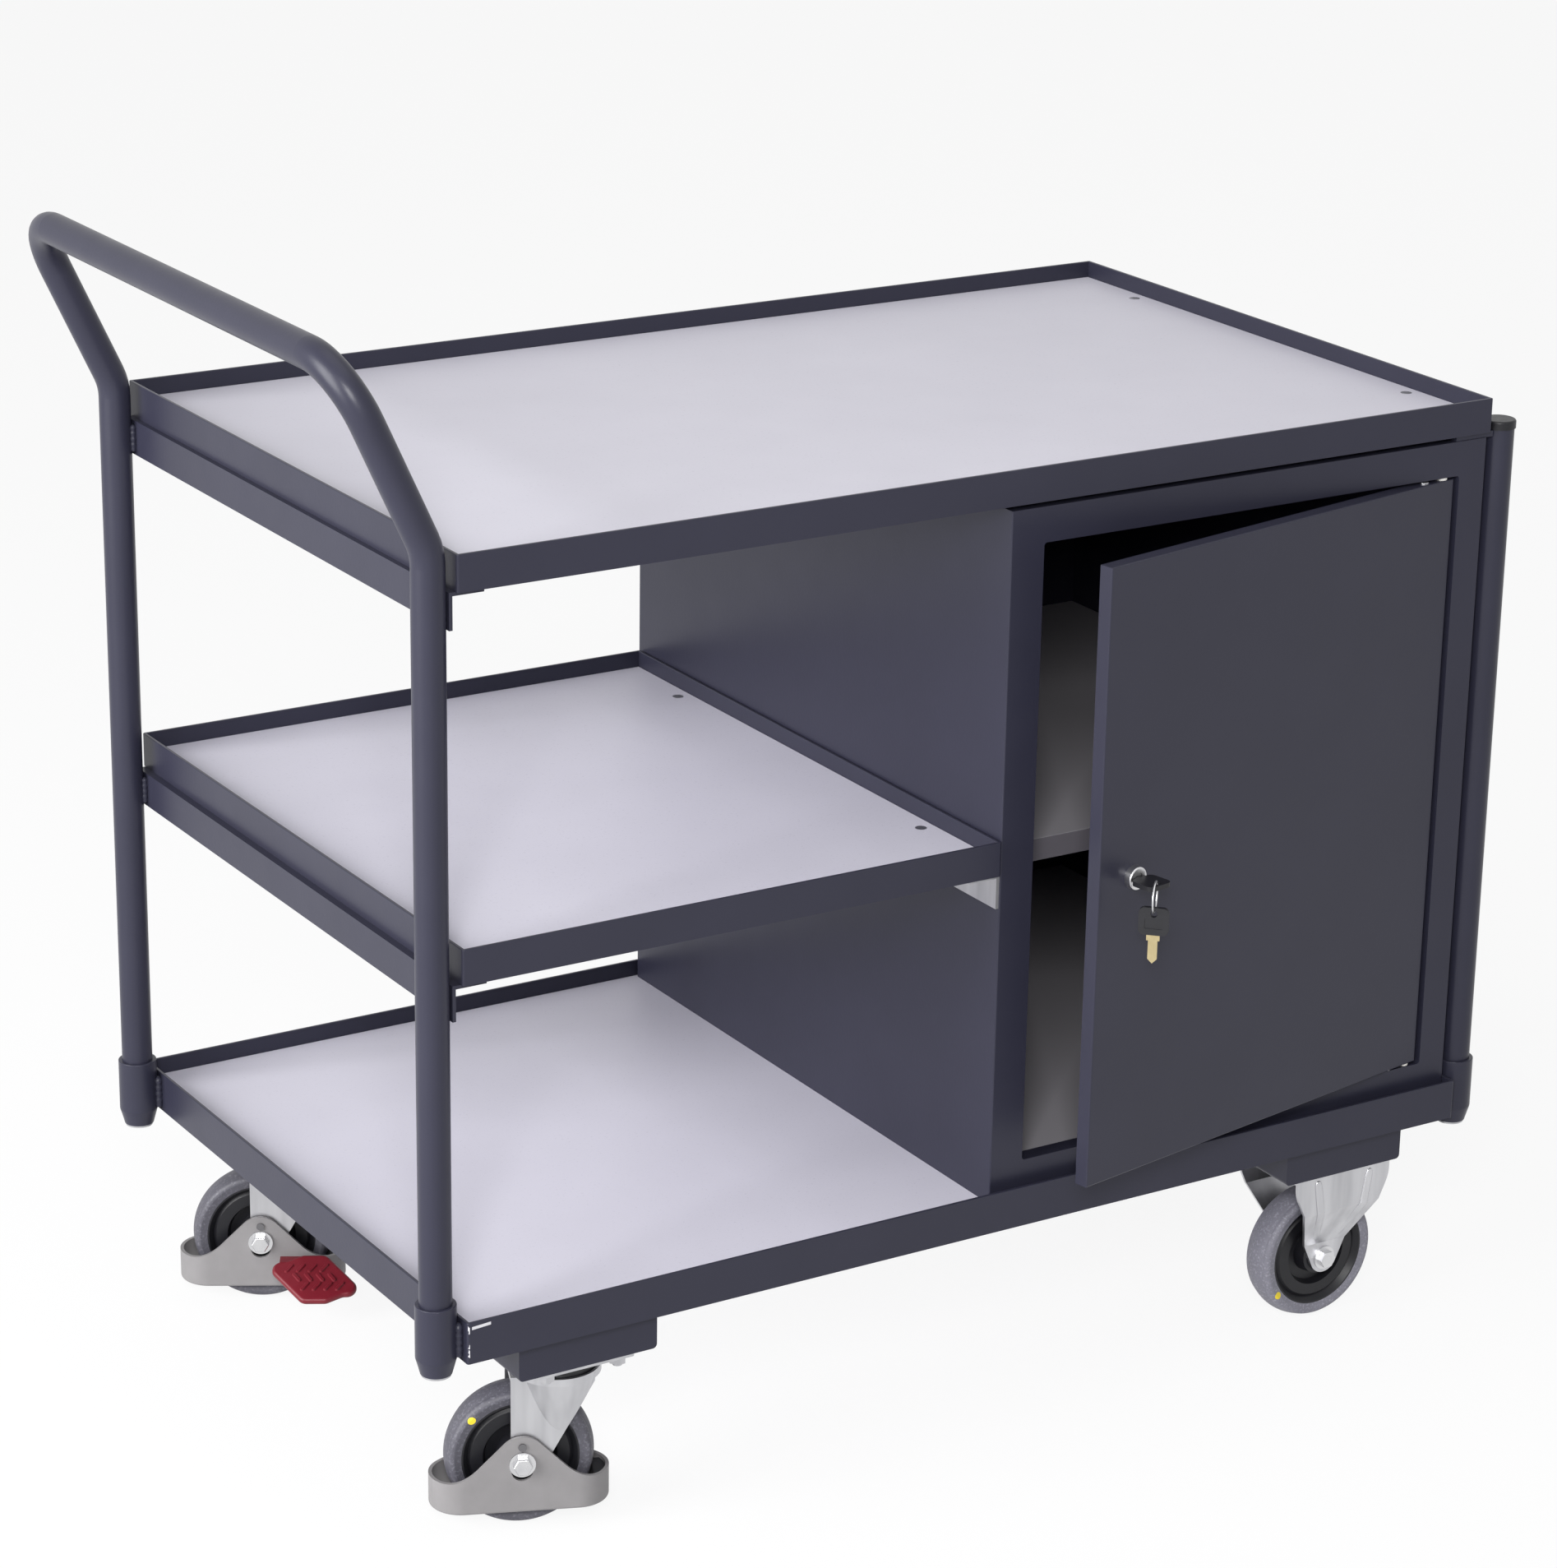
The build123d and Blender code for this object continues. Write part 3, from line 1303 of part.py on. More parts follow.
def fixed_leg(place, side):
    """One leg of a fixed fork, wide at the plate and tapering to the axle."""
    axle = wheel_frame(place, 0)
    with BuildPart() as leg:
        extrude(fixed_leg_section(place, side), amount=fixed_fork_top / 2, both=True)
        with BuildSketch(upright(place)) as outline:
            with Locations((0, wheel_radius)):
                Circle(fixed_fork_foot_radius)
            with Locations((0, plate_bottom - fixed_fork_shoulder / 2)):
                Rectangle(fixed_fork_top, fixed_fork_shoulder)
            make_hull()
            fillet(outline.vertices().group_by(Axis.Y)[-2], fixed_fork_corner_radius)
        extrude(amount=plate_size_y, both=True, mode=Mode.INTERSECT)
        with Locations(axle):
            Cylinder(axle_diameter / 2 + axle_play, plate_size_y, mode=Mode.SUBTRACT)
    return leg.part


fixed_spots = [(fixed_x, -caster_y), (fixed_x, caster_y)]
fixed_legs = [fixed_leg(caster_place(*spot, 0), side) for spot in fixed_spots for side in (-1, 1)]
with BuildPart() as fixed_forks:
    with BuildSketch(deck.offset(plate_bottom)):
        with Locations(*fixed_spots):
            RectangleRounded(plate_size_x, plate_size_y, tray_corner_radius)
            with Locations(*fixed_bolts):
                Circle(plate_bolt_diameter / 2 + screw_play, mode=Mode.SUBTRACT)
    extrude(amount=top_plate_thickness)
    add(fixed_legs)
save(fixed_forks, "fixed_forks")

fixed_sets = [axle_solids(wheel_frame(caster_place(*spot, 0), 0), leg_outer) for spot in fixed_spots]
with BuildPart() as fixed_axles:
    add(fixed_sets)
save(fixed_axles, "fixed_axles")

for name, spot in zip(("fixed_near", "fixed_far"), fixed_spots):
    make_wheel(f"{name}_tyre", f"{name}_wheel", wheel_frame(caster_place(*spot, 0), 0))

# Bolts and nuts that hold all four casters to the rails
bolt_points = [
    (x + x_off, y + y_off)
    for spots, plate_bolts in ((swivel_spots, swivel_bolts), (fixed_spots, fixed_bolts))
    for x, y in spots
    for x_off, y_off in plate_bolts
]
web_top = caster_height + rail_wall
nut_bottom = plate_bottom - bolt_head_height
with BuildPart() as caster_bolts:
    with BuildSketch(deck.offset(web_top)):
        with Locations(*bolt_points):
            RegularPolygon(bolt_head_width / 2, 6, major_radius=False)
    extrude(amount=bolt_head_height)
    with BuildSketch(deck.offset(nut_bottom - bolt_tail)):
        with Locations(*bolt_points):
            Circle(plate_bolt_diameter / 2)
    extrude(amount=web_top - nut_bottom + bolt_tail)
    with BuildSketch(deck.offset(nut_bottom)):
        with Locations(*bolt_points):
            RegularPolygon(bolt_head_width / 2, 6, major_radius=False)
            Circle(plate_bolt_diameter / 2 + running_play, mode=Mode.SUBTRACT)
    extrude(amount=bolt_head_height)
save(caster_bolts, "caster_bolts")
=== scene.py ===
# %% [markdown]
# A workshop trolley: three laminate decks in angle-steel trays, a bent-tube
# push handle at one end, a sheet-steel cabinet with a hinged door at the other,
# two braked swivel casters and two fixed ones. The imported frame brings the
# shapes. This notebook gives each of them its finish, adds the welds and pressed
# ribs that the drawing leaves out, and sets up the floor, light and camera.

import json
import math

import bmesh
import bpy
import numpy as np
from mathutils import Matrix, Vector


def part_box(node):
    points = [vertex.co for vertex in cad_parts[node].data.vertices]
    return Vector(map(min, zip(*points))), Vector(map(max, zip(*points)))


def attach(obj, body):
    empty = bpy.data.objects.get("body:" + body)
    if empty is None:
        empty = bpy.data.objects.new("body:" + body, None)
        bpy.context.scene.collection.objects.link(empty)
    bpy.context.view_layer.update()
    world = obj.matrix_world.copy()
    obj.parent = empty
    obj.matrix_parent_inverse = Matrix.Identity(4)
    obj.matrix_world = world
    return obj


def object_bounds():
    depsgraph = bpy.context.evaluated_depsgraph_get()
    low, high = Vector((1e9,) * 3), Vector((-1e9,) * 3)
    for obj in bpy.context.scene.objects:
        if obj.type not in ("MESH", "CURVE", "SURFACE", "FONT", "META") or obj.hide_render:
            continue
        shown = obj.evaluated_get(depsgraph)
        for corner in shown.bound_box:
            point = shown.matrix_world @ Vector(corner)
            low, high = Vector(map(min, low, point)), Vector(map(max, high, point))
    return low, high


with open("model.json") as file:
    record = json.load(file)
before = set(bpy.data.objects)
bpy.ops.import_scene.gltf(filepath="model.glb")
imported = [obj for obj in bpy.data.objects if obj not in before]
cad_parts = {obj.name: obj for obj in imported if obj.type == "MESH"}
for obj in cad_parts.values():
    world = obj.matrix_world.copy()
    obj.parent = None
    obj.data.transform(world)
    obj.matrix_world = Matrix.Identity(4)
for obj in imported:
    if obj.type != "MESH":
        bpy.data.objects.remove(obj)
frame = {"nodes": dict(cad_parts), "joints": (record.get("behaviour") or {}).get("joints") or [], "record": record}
nodes = frame["nodes"]
cad_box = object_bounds()
slot_of = {part["node"]: part["material_slot"] for part in frame["record"]["subparts"]}
print("pieces from the drawing:", len(nodes))
print("box of the drawing in mm:", [round(v * 1000) for v in cad_box[1] - cad_box[0]])

# %% [markdown]
# The camera stands about four metres away with a long lens, a little to the
# left of the trolley's front and about twice as high as its decks. These numbers
# were worked out by fitting tray corners and posts to where the photograph
# shows them, so the render can be laid over it.

# %% Camera
AZIMUTH = math.radians(-32.099)
ELEVATION = math.radians(19.703)
ROLL = math.radians(1.048)
CAMERA_SPOT = (-1.97786, -3.14408, 1.8187)

back = Vector(
    (
        math.sin(AZIMUTH) * math.cos(ELEVATION),
        -math.cos(AZIMUTH) * math.cos(ELEVATION),
        math.sin(ELEVATION),
    )
)
level = Vector((math.cos(AZIMUTH), math.sin(AZIMUTH), 0))
upward = back.cross(level)
across = level * math.cos(ROLL) + upward * math.sin(ROLL)
above = upward * math.cos(ROLL) - level * math.sin(ROLL)

camera = bpy.data.objects.new("camera", bpy.data.cameras.new("camera"))
camera.data.lens = 104.29
camera.data.sensor_width = 36
camera.data.shift_x = -0.0129
camera.data.shift_y = 0.02475
camera.data.clip_end = 50
turn = Matrix((across, above, back)).transposed().to_4x4()
camera.matrix_world = Matrix.Translation(CAMERA_SPOT) @ turn
bpy.context.collection.objects.link(camera)
bpy.context.scene.camera = camera
bpy.context.scene.view_settings.view_transform = "Standard"
print("camera distance in m:", round(Vector(CAMERA_SPOT).length, 2))

# %% [markdown]
# Three helpers serve every finish. The first turns the usual hex colour code
# into the linear numbers that the shader works with. The second adds one node to
# a material, sets it and links it. The third lays the ground that all real
# surfaces share: no two spots have quite the same colour and gloss, and no face
# is perfectly smooth. Marks such as scrapes and dots are laid over that ground.


# %% Helpers for the finishes
def srgb(code):
    """Linear red, green, blue and alpha of a hex colour code such as #d5d3de."""
    part = np.array([int(code[i : i + 2], 16) for i in (1, 3, 5)]) / 255
    linear = np.where(part <= 0.04045, part / 12.92, ((part + 0.055) / 1.055) ** 2.4)
    return (*linear.tolist(), 1.0)


def add_node(tree, kind, inputs=None, **settings):
    """Add a node, apply its settings, and set or link its inputs."""
    node = tree.nodes.new(kind)
    for name, value in settings.items():
        setattr(node, name, value)
    for key, value in (inputs or {}).items():
        if isinstance(value, bpy.types.NodeSocket):
            tree.links.new(value, node.inputs[key])
        else:
            node.inputs[key].default_value = value
    return node


def ground(name, codes, blotch, rough, pit, depth, upright=1.0):
    """A new material that drifts between two colours and two roughnesses.

    The drift is noise whose blotches are blotch mm wide and upright times as
    tall; gloss drifts in blotches a third as wide. A finer noise, pit mm wide,
    is a bump depth mm deep. Returns the material, its tree, its shader, the
    object's own coordinates and the drifting colour."""
    material = bpy.data.materials.new(name)
    material.use_nodes = True
    tree = material.node_tree
    shader = tree.nodes["Principled BSDF"]
    place = add_node(tree, "ShaderNodeTexCoord").outputs["Object"]
    squeeze = {0: place, 1: (1, 1, 1 / upright)}
    drawn = add_node(tree, "ShaderNodeVectorMath", squeeze, operation="MULTIPLY").outputs[0]
    drift = add_node(tree, "ShaderNodeTexNoise", {"Vector": drawn, "Scale": 1000 / blotch})
    ends = {0: drift.outputs[0], 6: srgb(codes[0]), 7: srgb(codes[1])}
    colour = add_node(tree, "ShaderNodeMix", ends, data_type="RGBA").outputs[2]
    tree.links.new(colour, shader.inputs["Base Color"])
    gloss = add_node(tree, "ShaderNodeTexNoise", {"Vector": drawn, "Scale": 3000 / blotch})
    spread = {"Value": gloss.outputs[0], "To Min": rough[0], "To Max": rough[1]}
    spread = add_node(tree, "ShaderNodeMapRange", spread)
    tree.links.new(spread.outputs[0], shader.inputs["Roughness"])
    fine = add_node(tree, "ShaderNodeTexNoise", {"Vector": place, "Scale": 1000 / pit})
    relief = {"Height": fine.outputs[0], "Distance": depth / 1000, "Strength": 1.0}
    relief = add_node(tree, "ShaderNodeBump", relief)
    tree.links.new(relief.outputs[0], shader.inputs["Normal"])
    return material, tree, shader, place, colour


print("linear value of mid grey:", round(srgb("#808080")[0], 3))

# %% [markdown]
# The steel frame is powder coated: the powder is sprayed on dry, clings by
# static charge and is melted in an oven. It leaves an even anthracite coat with
# a faint orange-peel ripple and a soft gloss. The ripple of a real coat is one or
# two millimetres wide, and is drawn a little coarser here so that it shows. The
# cabinet's shelf and floor get a paler copy of the same coat: painted light, for
# the light that reaches into the cabinet. Their upward faces are painted paler
# still, painted light on the tops, so those show brighter than the upright lips.


# %% Powder-coated steel
def powder_coat(name, codes):
    """A coat of baked powder in blotches 90 mm wide, with a 3 mm ripple."""
    finish = ground(name, codes, 90, (0.30, 0.40), 3.0, 0.05)
    finish[2].inputs["Specular IOR Level"].default_value = 0.27
    return finish


ANTHRACITE = ("#292936", "#2e2e3c")
paint = powder_coat("powder_coat_anthracite", ANTHRACITE)[0]
# The shelf and floor coat is painted light: a paler copy of the anthracite coat, for the light that reaches into
# the cabinet.
painted_light_paint, tree, shader, place, colour = powder_coat("powder_coat_painted_light", ("#625f66", "#6b686f"))
facing = add_node(tree, "ShaderNodeTexCoord").outputs["Normal"]
lift = add_node(tree, "ShaderNodeSeparateXYZ", {0: facing}).outputs[2]
# Faces that point upward are painted paler still: painted light on the tops.
painted_top_light_share = {"Value": lift, "From Min": 0.6, "From Max": 0.9, "To Max": 0.85}
painted_top_light_share = add_node(tree, "ShaderNodeMapRange", painted_top_light_share).outputs[0]
painted_top_light_colour = {0: painted_top_light_share, 6: colour, 7: srgb("#aeabb1")}
painted_top_light_colour = add_node(tree, "ShaderNodeMix", painted_top_light_colour, data_type="RGBA").outputs[2]
tree.links.new(painted_top_light_colour, shader.inputs["Base Color"])
print("powder coats:", paint.name, painted_light_paint.name)

# %% [markdown]
# Where the base tray gets knocked, at its outer front corner, the coat has been
# scraped off: a bright streak under the rim, and a row of flakes down the corner.
# A separate mesh would stand proud of the steel, so the scrapes are a mask in a
# coat of their own, measured from that corner. All lengths here are in metres.


# %% Scraped corner of the base tray
def within(tree, tests):
    """One where each value lies within its reach of its middle, nought elsewhere."""
    share = 1.0
    for value, middle, reach in tests:
        near = {0: value, 1: middle, 2: reach}
        near = add_node(tree, "ShaderNodeMath", near, operation="COMPARE").outputs[0]
        both = {0: share, 1: near}
        share = add_node(tree, "ShaderNodeMath", both, operation="MULTIPLY").outputs[0]
    return share


FRONT_FACE = 0.0008
STREAK_DROP = 0.0052
STREAK_SLOPE = 0.06
STREAK_HALF_HEIGHT = 0.0013
STREAK_MIDDLE = 0.0125
STREAK_HALF_LENGTH = 0.0085
FLAKE_MIDDLE = 0.0014
FLAKE_HALF_WIDTH = 0.0007
FLAKE_SIZE = 0.006
FLAKE_LEVEL = 0.57

tray_low, tray_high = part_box("base_tray")
corner = (tray_low.x, tray_low.y, tray_high.z)
scraped, tree, shader, place, colour = powder_coat("powder_coat_scraped", ANTHRACITE)
off = {0: place, 1: corner}
off = add_node(tree, "ShaderNodeVectorMath", off, operation="SUBTRACT").outputs[0]
x, y, z = add_node(tree, "ShaderNodeSeparateXYZ", {0: off}).outputs[:]
front = (y, 0.0, FRONT_FACE)
line = {0: x, 1: STREAK_SLOPE, 2: -STREAK_DROP}
line = add_node(tree, "ShaderNodeMath", line, operation="MULTIPLY_ADD").outputs[0]
stretch = (x, STREAK_MIDDLE, STREAK_HALF_LENGTH)
streak = within(tree, [(z, line, STREAK_HALF_HEIGHT), stretch, front])
chips = {"Vector": place, "Scale": 1 / FLAKE_SIZE, "Detail": 3}
chips = add_node(tree, "ShaderNodeTexNoise", chips).outputs[0]
chips = {0: chips, 1: FLAKE_LEVEL}
chips = add_node(tree, "ShaderNodeMath", chips, operation="GREATER_THAN").outputs[0]
flakes = within(tree, [(x, FLAKE_MIDDLE, FLAKE_HALF_WIDTH), front, (chips, 1.0, 0.5)])
bare = add_node(tree, "ShaderNodeMath", {0: streak, 1: flakes}, operation="MAXIMUM").outputs[0]
worn = {0: bare, 6: colour, 7: srgb("#c9c8cc")}
worn = add_node(tree, "ShaderNodeMix", worn, data_type="RGBA").outputs[2]
tree.links.new(worn, shader.inputs["Base Color"])
print("scraped corner in mm:", [round(v * 1000) for v in corner])

# %% [markdown]
# The boards are faced with melamine laminate: printed paper soaked in resin and
# pressed on hot. It is pale grey with a satin face, and a fine sprinkle of
# slightly darker dots, two or three millimetres apart, keeps it from looking
# like plain paint.

# %% Laminate boards
laminate, tree, shader, place, colour = ground(
    "melamine_laminate_grey", ("#cac8d3", "#d2d0db"), 120, (0.42, 0.52), 8.0, 0.01
)
print_dots = {"Vector": place, "Scale": 1000 / 2.5, "Detail": 3}
print_dots = add_node(tree, "ShaderNodeTexNoise", print_dots).outputs[0]
faint = {"Value": print_dots, "From Min": 0.62, "From Max": 0.72, "To Max": 0.5}
faint = add_node(tree, "ShaderNodeMapRange", faint).outputs[0]
speckled = {0: faint, 6: colour, 7: srgb("#b7b5c1")}
speckled = add_node(tree, "ShaderNodeMix", speckled, data_type="RGBA").outputs[2]
tree.links.new(speckled, shader.inputs["Base Color"])
print("laminate on:", [name for name, slot in slot_of.items() if slot == "laminate"])

# %% [markdown]
# Forks, plates and screws are zinc plated: the pressed parts hang in a bath and
# take a thin bluish-silver skin that is duller than chrome. Its drift of tone is
# drawn out along the height into soft upright bands of lighter and darker metal:
# painted shading, for the light and shade across the pressed fork legs. Bolts,
# lock and key ring are brighter: they are polished and nickel or chrome plated.


# %% Plated steel
def plated(name, codes, rough, upright):
    """Plated metal in streaks 14 mm wide and upright times as tall."""
    finish = ground(name, codes, 14, rough, 4.0, 0.02, upright)
    finish[2].inputs["Metallic"].default_value = 1.0
    return finish


ZINC_CODES = ("#a0a0a4", "#d6d6d9")
ZINC_ROUGH = (0.27, 0.45)
BRIGHT_CODES = ("#c4c4c7", "#dededf")
# The zinc drift is drawn seven times taller than wide: painted shading bands, for the light and shade across the
# pressed fork legs.
zinc = plated("zinc_plated_steel_painted_bands", ZINC_CODES, ZINC_ROUGH, 7)[0]
chrome = plated("bright_plated_steel", BRIGHT_CODES, (0.26, 0.38), 1)[0]
print("plated finishes:", zinc.name, chrome.name)

# %% [markdown]
# Two plated pieces carry a second material. On the swivel casters' top plates,
# all of the piece below the plate is painted near black and not metallic: painted
# shade, for the shadowed gap under the plate. The axle sets include the guard's
# two pivot rivets above the bolt, which are duller. Both borders are levels, so a
# height in metres decides.

# %% Plates with a painted shade ring, and axles with dull rivets
PLATE_FOOT = 0.1558
shade_ringed_plate, tree, shader, place, colour = plated(
    "zinc_plate_with_painted_shade_ring", ZINC_CODES, ZINC_ROUGH, 1
)
height = add_node(tree, "ShaderNodeSeparateXYZ", {0: place}).outputs[2]
metal = {0: height, 1: PLATE_FOOT}
metal = add_node(tree, "ShaderNodeMath", metal, operation="GREATER_THAN").outputs[0]
# Below the plate the colour is near black and the metal is switched off: painted shade for the gap under the
# plate.
both = {0: metal, 6: srgb("#1b1b1f"), 7: colour}
both = add_node(tree, "ShaderNodeMix", both, data_type="RGBA").outputs[2]
tree.links.new(both, shader.inputs["Base Color"])
tree.links.new(metal, shader.inputs["Metallic"])

WASHER_TOP = 0.0742
riveted, tree, shader, place, colour = plated(
    "bright_axle_with_dull_rivets", BRIGHT_CODES, (0.20, 0.32), 1
)
height = add_node(tree, "ShaderNodeSeparateXYZ", {0: place}).outputs[2]
rivet = {0: height, 1: WASHER_TOP}
rivet = add_node(tree, "ShaderNodeMath", rivet, operation="GREATER_THAN").outputs[0]
both = {0: rivet, 6: colour, 7: srgb("#7a797c")}
both = add_node(tree, "ShaderNodeMix", both, data_type="RGBA").outputs[2]
tree.links.new(both, shader.inputs["Base Color"])
print("borders in mm:", PLATE_FOOT * 1000, WASHER_TOP * 1000)

# %% [markdown]
# The tyres are grey thermoplastic rubber, moulded on to the black wheel centres.
# They are satin and flecked with paler grains about two millimetres wide. The
# fixed pair is painted paler: painted light, a lighter copy of the same rubber
# for the stronger light on those wheels. Two tyres carry the moulder's round
# yellow paint dot on the side wall, which marks the light spot.


# %% Tyres
DOT_RADIUS = 0.0035
GRAIN_SIZE = 0.0022


def wheel_dot(tyre, joint, reach, degrees, side):
    """The point on a tyre's side wall at this radius in mm and angle about the axle."""
    axle = Vector(next(j["axis"] for j in frame["joints"] if j["name"] == joint))
    low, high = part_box(tyre)
    ahead = Vector((0, 0, 1)).cross(axle)
    angle = math.radians(degrees)
    spoke = ahead * math.cos(angle) + Vector((0, 0, 1)) * math.sin(angle)
    return (low + high) / 2 + spoke * (reach / 1000) + axle * (side / 1000)


def moulded_tyre(name, codes, fleck, dot=None):
    """Flecked tyre rubber, with a yellow dot about the given point."""
    material, tree, shader, place, colour = ground(name, codes, 12, (0.46, 0.60), 3.0, 0.06)
    grains = {"Vector": place, "Scale": 1 / GRAIN_SIZE, "Detail": 3}
    grains = add_node(tree, "ShaderNodeTexNoise", grains).outputs[0]
    pale = {"Value": grains, "From Min": 0.52, "From Max": 0.70, "To Max": 0.6}
    pale = add_node(tree, "ShaderNodeMapRange", pale).outputs[0]
    flecked = {0: pale, 6: colour, 7: srgb(fleck)}
    colour = add_node(tree, "ShaderNodeMix", flecked, data_type="RGBA").outputs[2]
    if dot is not None:
        gap = {0: place, 1: dot}
        gap = add_node(tree, "ShaderNodeVectorMath", gap, operation="DISTANCE").outputs[1]
        inside = {0: gap, 1: DOT_RADIUS}
        inside = add_node(tree, "ShaderNodeMath", inside, operation="LESS_THAN").outputs[0]
        dotted = {0: inside, 6: colour, 7: srgb("#e8cf2e")}
        colour = add_node(tree, "ShaderNodeMix", dotted, data_type="RGBA").outputs[2]
    tree.links.new(colour, shader.inputs["Base Color"])
    return material


dark_rubber = (("#414048", "#4d4c55"), "#6c6b74")
# The fixed tyres are painted lighter: painted light, a paler copy of the same rubber for the stronger light on
# those wheels.
painted_lighter_rubber = (("#6f6e78", "#7f7e89"), "#a2a1ab")
DOT_REACH = 54.0
near_mark = wheel_dot("near_tyre", "near_wheel_spin", DOT_REACH, 138, 16)
fixed_mark = wheel_dot("fixed_near_tyre", "fixed_near_wheel_spin", DOT_REACH, 324, -16)
swivel_tyre = moulded_tyre("tyre_rubber_grey", *dark_rubber)
near_tyre = moulded_tyre("tyre_rubber_grey_dotted", *dark_rubber, near_mark)
fixed_tyre = moulded_tyre("tyre_rubber_painted_lighter", *painted_lighter_rubber)
fixed_near_tyre = moulded_tyre("tyre_rubber_painted_lighter_dotted", *painted_lighter_rubber, fixed_mark)
print("dots in mm:", [[round(v * 1000) for v in mark] for mark in (near_mark, fixed_mark)])

# %% [markdown]
# Wheel centres, guards, pedal and key bows are injection moulded. The mould
# wall is lightly spark eroded, which leaves a fine grain and a satin gloss. The
# two rubber brake blocks are duller, and the nylon bushes are milky white.


# %% Moulded plastics
def moulded(name, codes, rough, pit, depth):
    """Moulded plastic in faint clouds 16 mm wide, with a grain of pit and depth in mm."""
    finish = ground(name, codes, 16, rough, pit, depth)
    finish[2].inputs["Specular IOR Level"].default_value = 0.35
    return finish[0]


black_plastic = moulded("moulded_nylon_black", ("#101014", "#17171c"), (0.36, 0.48), 2.5, 0.03)
grey_plastic = moulded("moulded_nylon_grey", ("#777576", "#828081"), (0.42, 0.55), 2.5, 0.05)
red_plastic = moulded("moulded_nylon_red", ("#62131e", "#741a27"), (0.32, 0.44), 2.5, 0.03)
rubber = moulded("brake_block_rubber", ("#1c1c1e", "#27272a"), (0.65, 0.80), 2.0, 0.08)
nylon = moulded("natural_nylon_white", ("#dcdad4", "#e8e6e1"), (0.35, 0.50), 3.0, 0.02)
print("moulded finishes: 5")

# %% [markdown]
# The spare key has a black plastic bow moulded over a brass blade. The border
# between the two is a level, so one finish can hold both: below it the colour
# turns to brass and the surface turns metallic.

# %% Spare key
BOW_HEIGHT = 0.0241
key_finish, tree, shader, place, colour = ground(
    "key_bow_and_brass", ("#101014", "#18181d"), 10, (0.30, 0.42), 2.5, 0.03
)
height = add_node(tree, "ShaderNodeSeparateXYZ", {0: place}).outputs[2]
blade = {0: height, 1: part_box("spare_key")[1].z - BOW_HEIGHT}
blade = add_node(tree, "ShaderNodeMath", blade, operation="LESS_THAN").outputs[0]
cut = add_node(tree, "ShaderNodeTexNoise", {"Vector": place, "Scale": 1000 / 6}).outputs[0]
brass = {0: cut, 6: srgb("#b5a57c"), 7: srgb("#d0c198")}
brass = add_node(tree, "ShaderNodeMix", brass, data_type="RGBA").outputs[2]
both = {0: blade, 6: colour, 7: brass}
both = add_node(tree, "ShaderNodeMix", both, data_type="RGBA").outputs[2]
tree.links.new(both, shader.inputs["Base Color"])
tree.links.new(blade, shader.inputs["Metallic"])
print("key bow ends in mm below the key's top:", BOW_HEIGHT * 1000)

# %% [markdown]
# Each piece of the drawing gets the finish of its material slot. A few pieces
# have a finish of their own: the scraped tray, the cabinet's shelf and floor with
# their painted light, the plates with their painted shade ring, the axles, the
# tyres, of which the fixed pair is painted lighter, and the spare key.

# %% Finishes on the pieces
finish_of_slot = {
    "grey_paint": paint,
    "laminate": laminate,
    "zinc": zinc,
    "bright_steel": chrome,
    "tyre_grey": swivel_tyre,
    "black_rubber": rubber,
    "black_plastic": black_plastic,
    "grey_plastic": grey_plastic,
    "red_plastic": red_plastic,
    "white_nylon": nylon,
}
own_finish = {
    "base_tray": scraped,
    "cabinet_shelf": painted_light_paint,
    "cabinet_floor": painted_light_paint,
    "caster_plates": shade_ringed_plate,
    "near_axle": riveted,
    "far_axle": riveted,
    "near_tyre": near_tyre,
    "fixed_near_tyre": fixed_near_tyre,
    "fixed_far_tyre": fixed_tyre,
    "spare_key": key_finish,
}
for name, piece in nodes.items():
    for holder in piece.material_slots:
        holder.material = own_finish.get(name, finish_of_slot[slot_of[name]])
print("finishes in use:", len({p.material_slots[0].material for p in nodes.values()}))

# %% [markdown]
# The posts are joined to the trays by arc welding. The welder lays a row of
# overlapping molten beads, which freeze into a rounded, rippled seam in the
# crevice beside each tube. A seam is an oval swept along a path; its size rises
# and falls once for every bead and shrinks to a point at both ends. The same
# sweep without ripple will serve for pressed ribs.


# %% Swept shapes
def sweep(path, side, width, height, pitch=None, around=12):
    """Points of an oval swept along a path, as rings by points by coordinates.

    A ring is the path's point plus the width times the cosine along the side
    and the height times the sine along the other way across. Its size waves by
    a tenth once per pitch, and falls to nothing at both ends."""
    path = np.array(path)
    reach = np.append(0, np.cumsum(np.linalg.norm(np.diff(path, axis=0), axis=1)))
    along = np.linspace(0, reach[-1], max(int(reach[-1] / 0.001), 24) + 1)
    spine = np.stack([np.interp(along, reach, line) for line in path.T], -1)
    way = np.gradient(spine, along, axis=0)
    way = way / np.linalg.norm(way, axis=1, keepdims=True)
    other = np.cross(way, side)
    other = other / np.linalg.norm(other, axis=1, keepdims=True)
    across = np.cross(other, way)
    ripple = 1 + 0.1 * np.sin(along / pitch * 2 * np.pi) if pitch else 1
    size = ripple * np.sqrt(np.clip(1 - (2 * along / reach[-1] - 1) ** 12, 0, 1))
    angle = (np.arange(around) / around * 2 * np.pi)[None, :, None]
    oval = width * np.cos(angle) * across[:, None] + height * np.sin(angle) * other[:, None]
    return spine[:, None] + np.broadcast_to(size, along.shape)[:, None, None] * oval


def ring_faces(rings, around, first):
    """Corner numbers of the quads between neighbouring rings, facing outwards."""
    ring, spot = np.meshgrid(np.arange(rings - 1), np.arange(around), indexing="ij")
    after = (spot + 1) % around
    corners = [ring * around + spot, ring * around + after]
    corners += [(ring + 1) * around + after, (ring + 1) * around + spot]
    return np.stack(corners, -1).reshape(-1, 4) + first


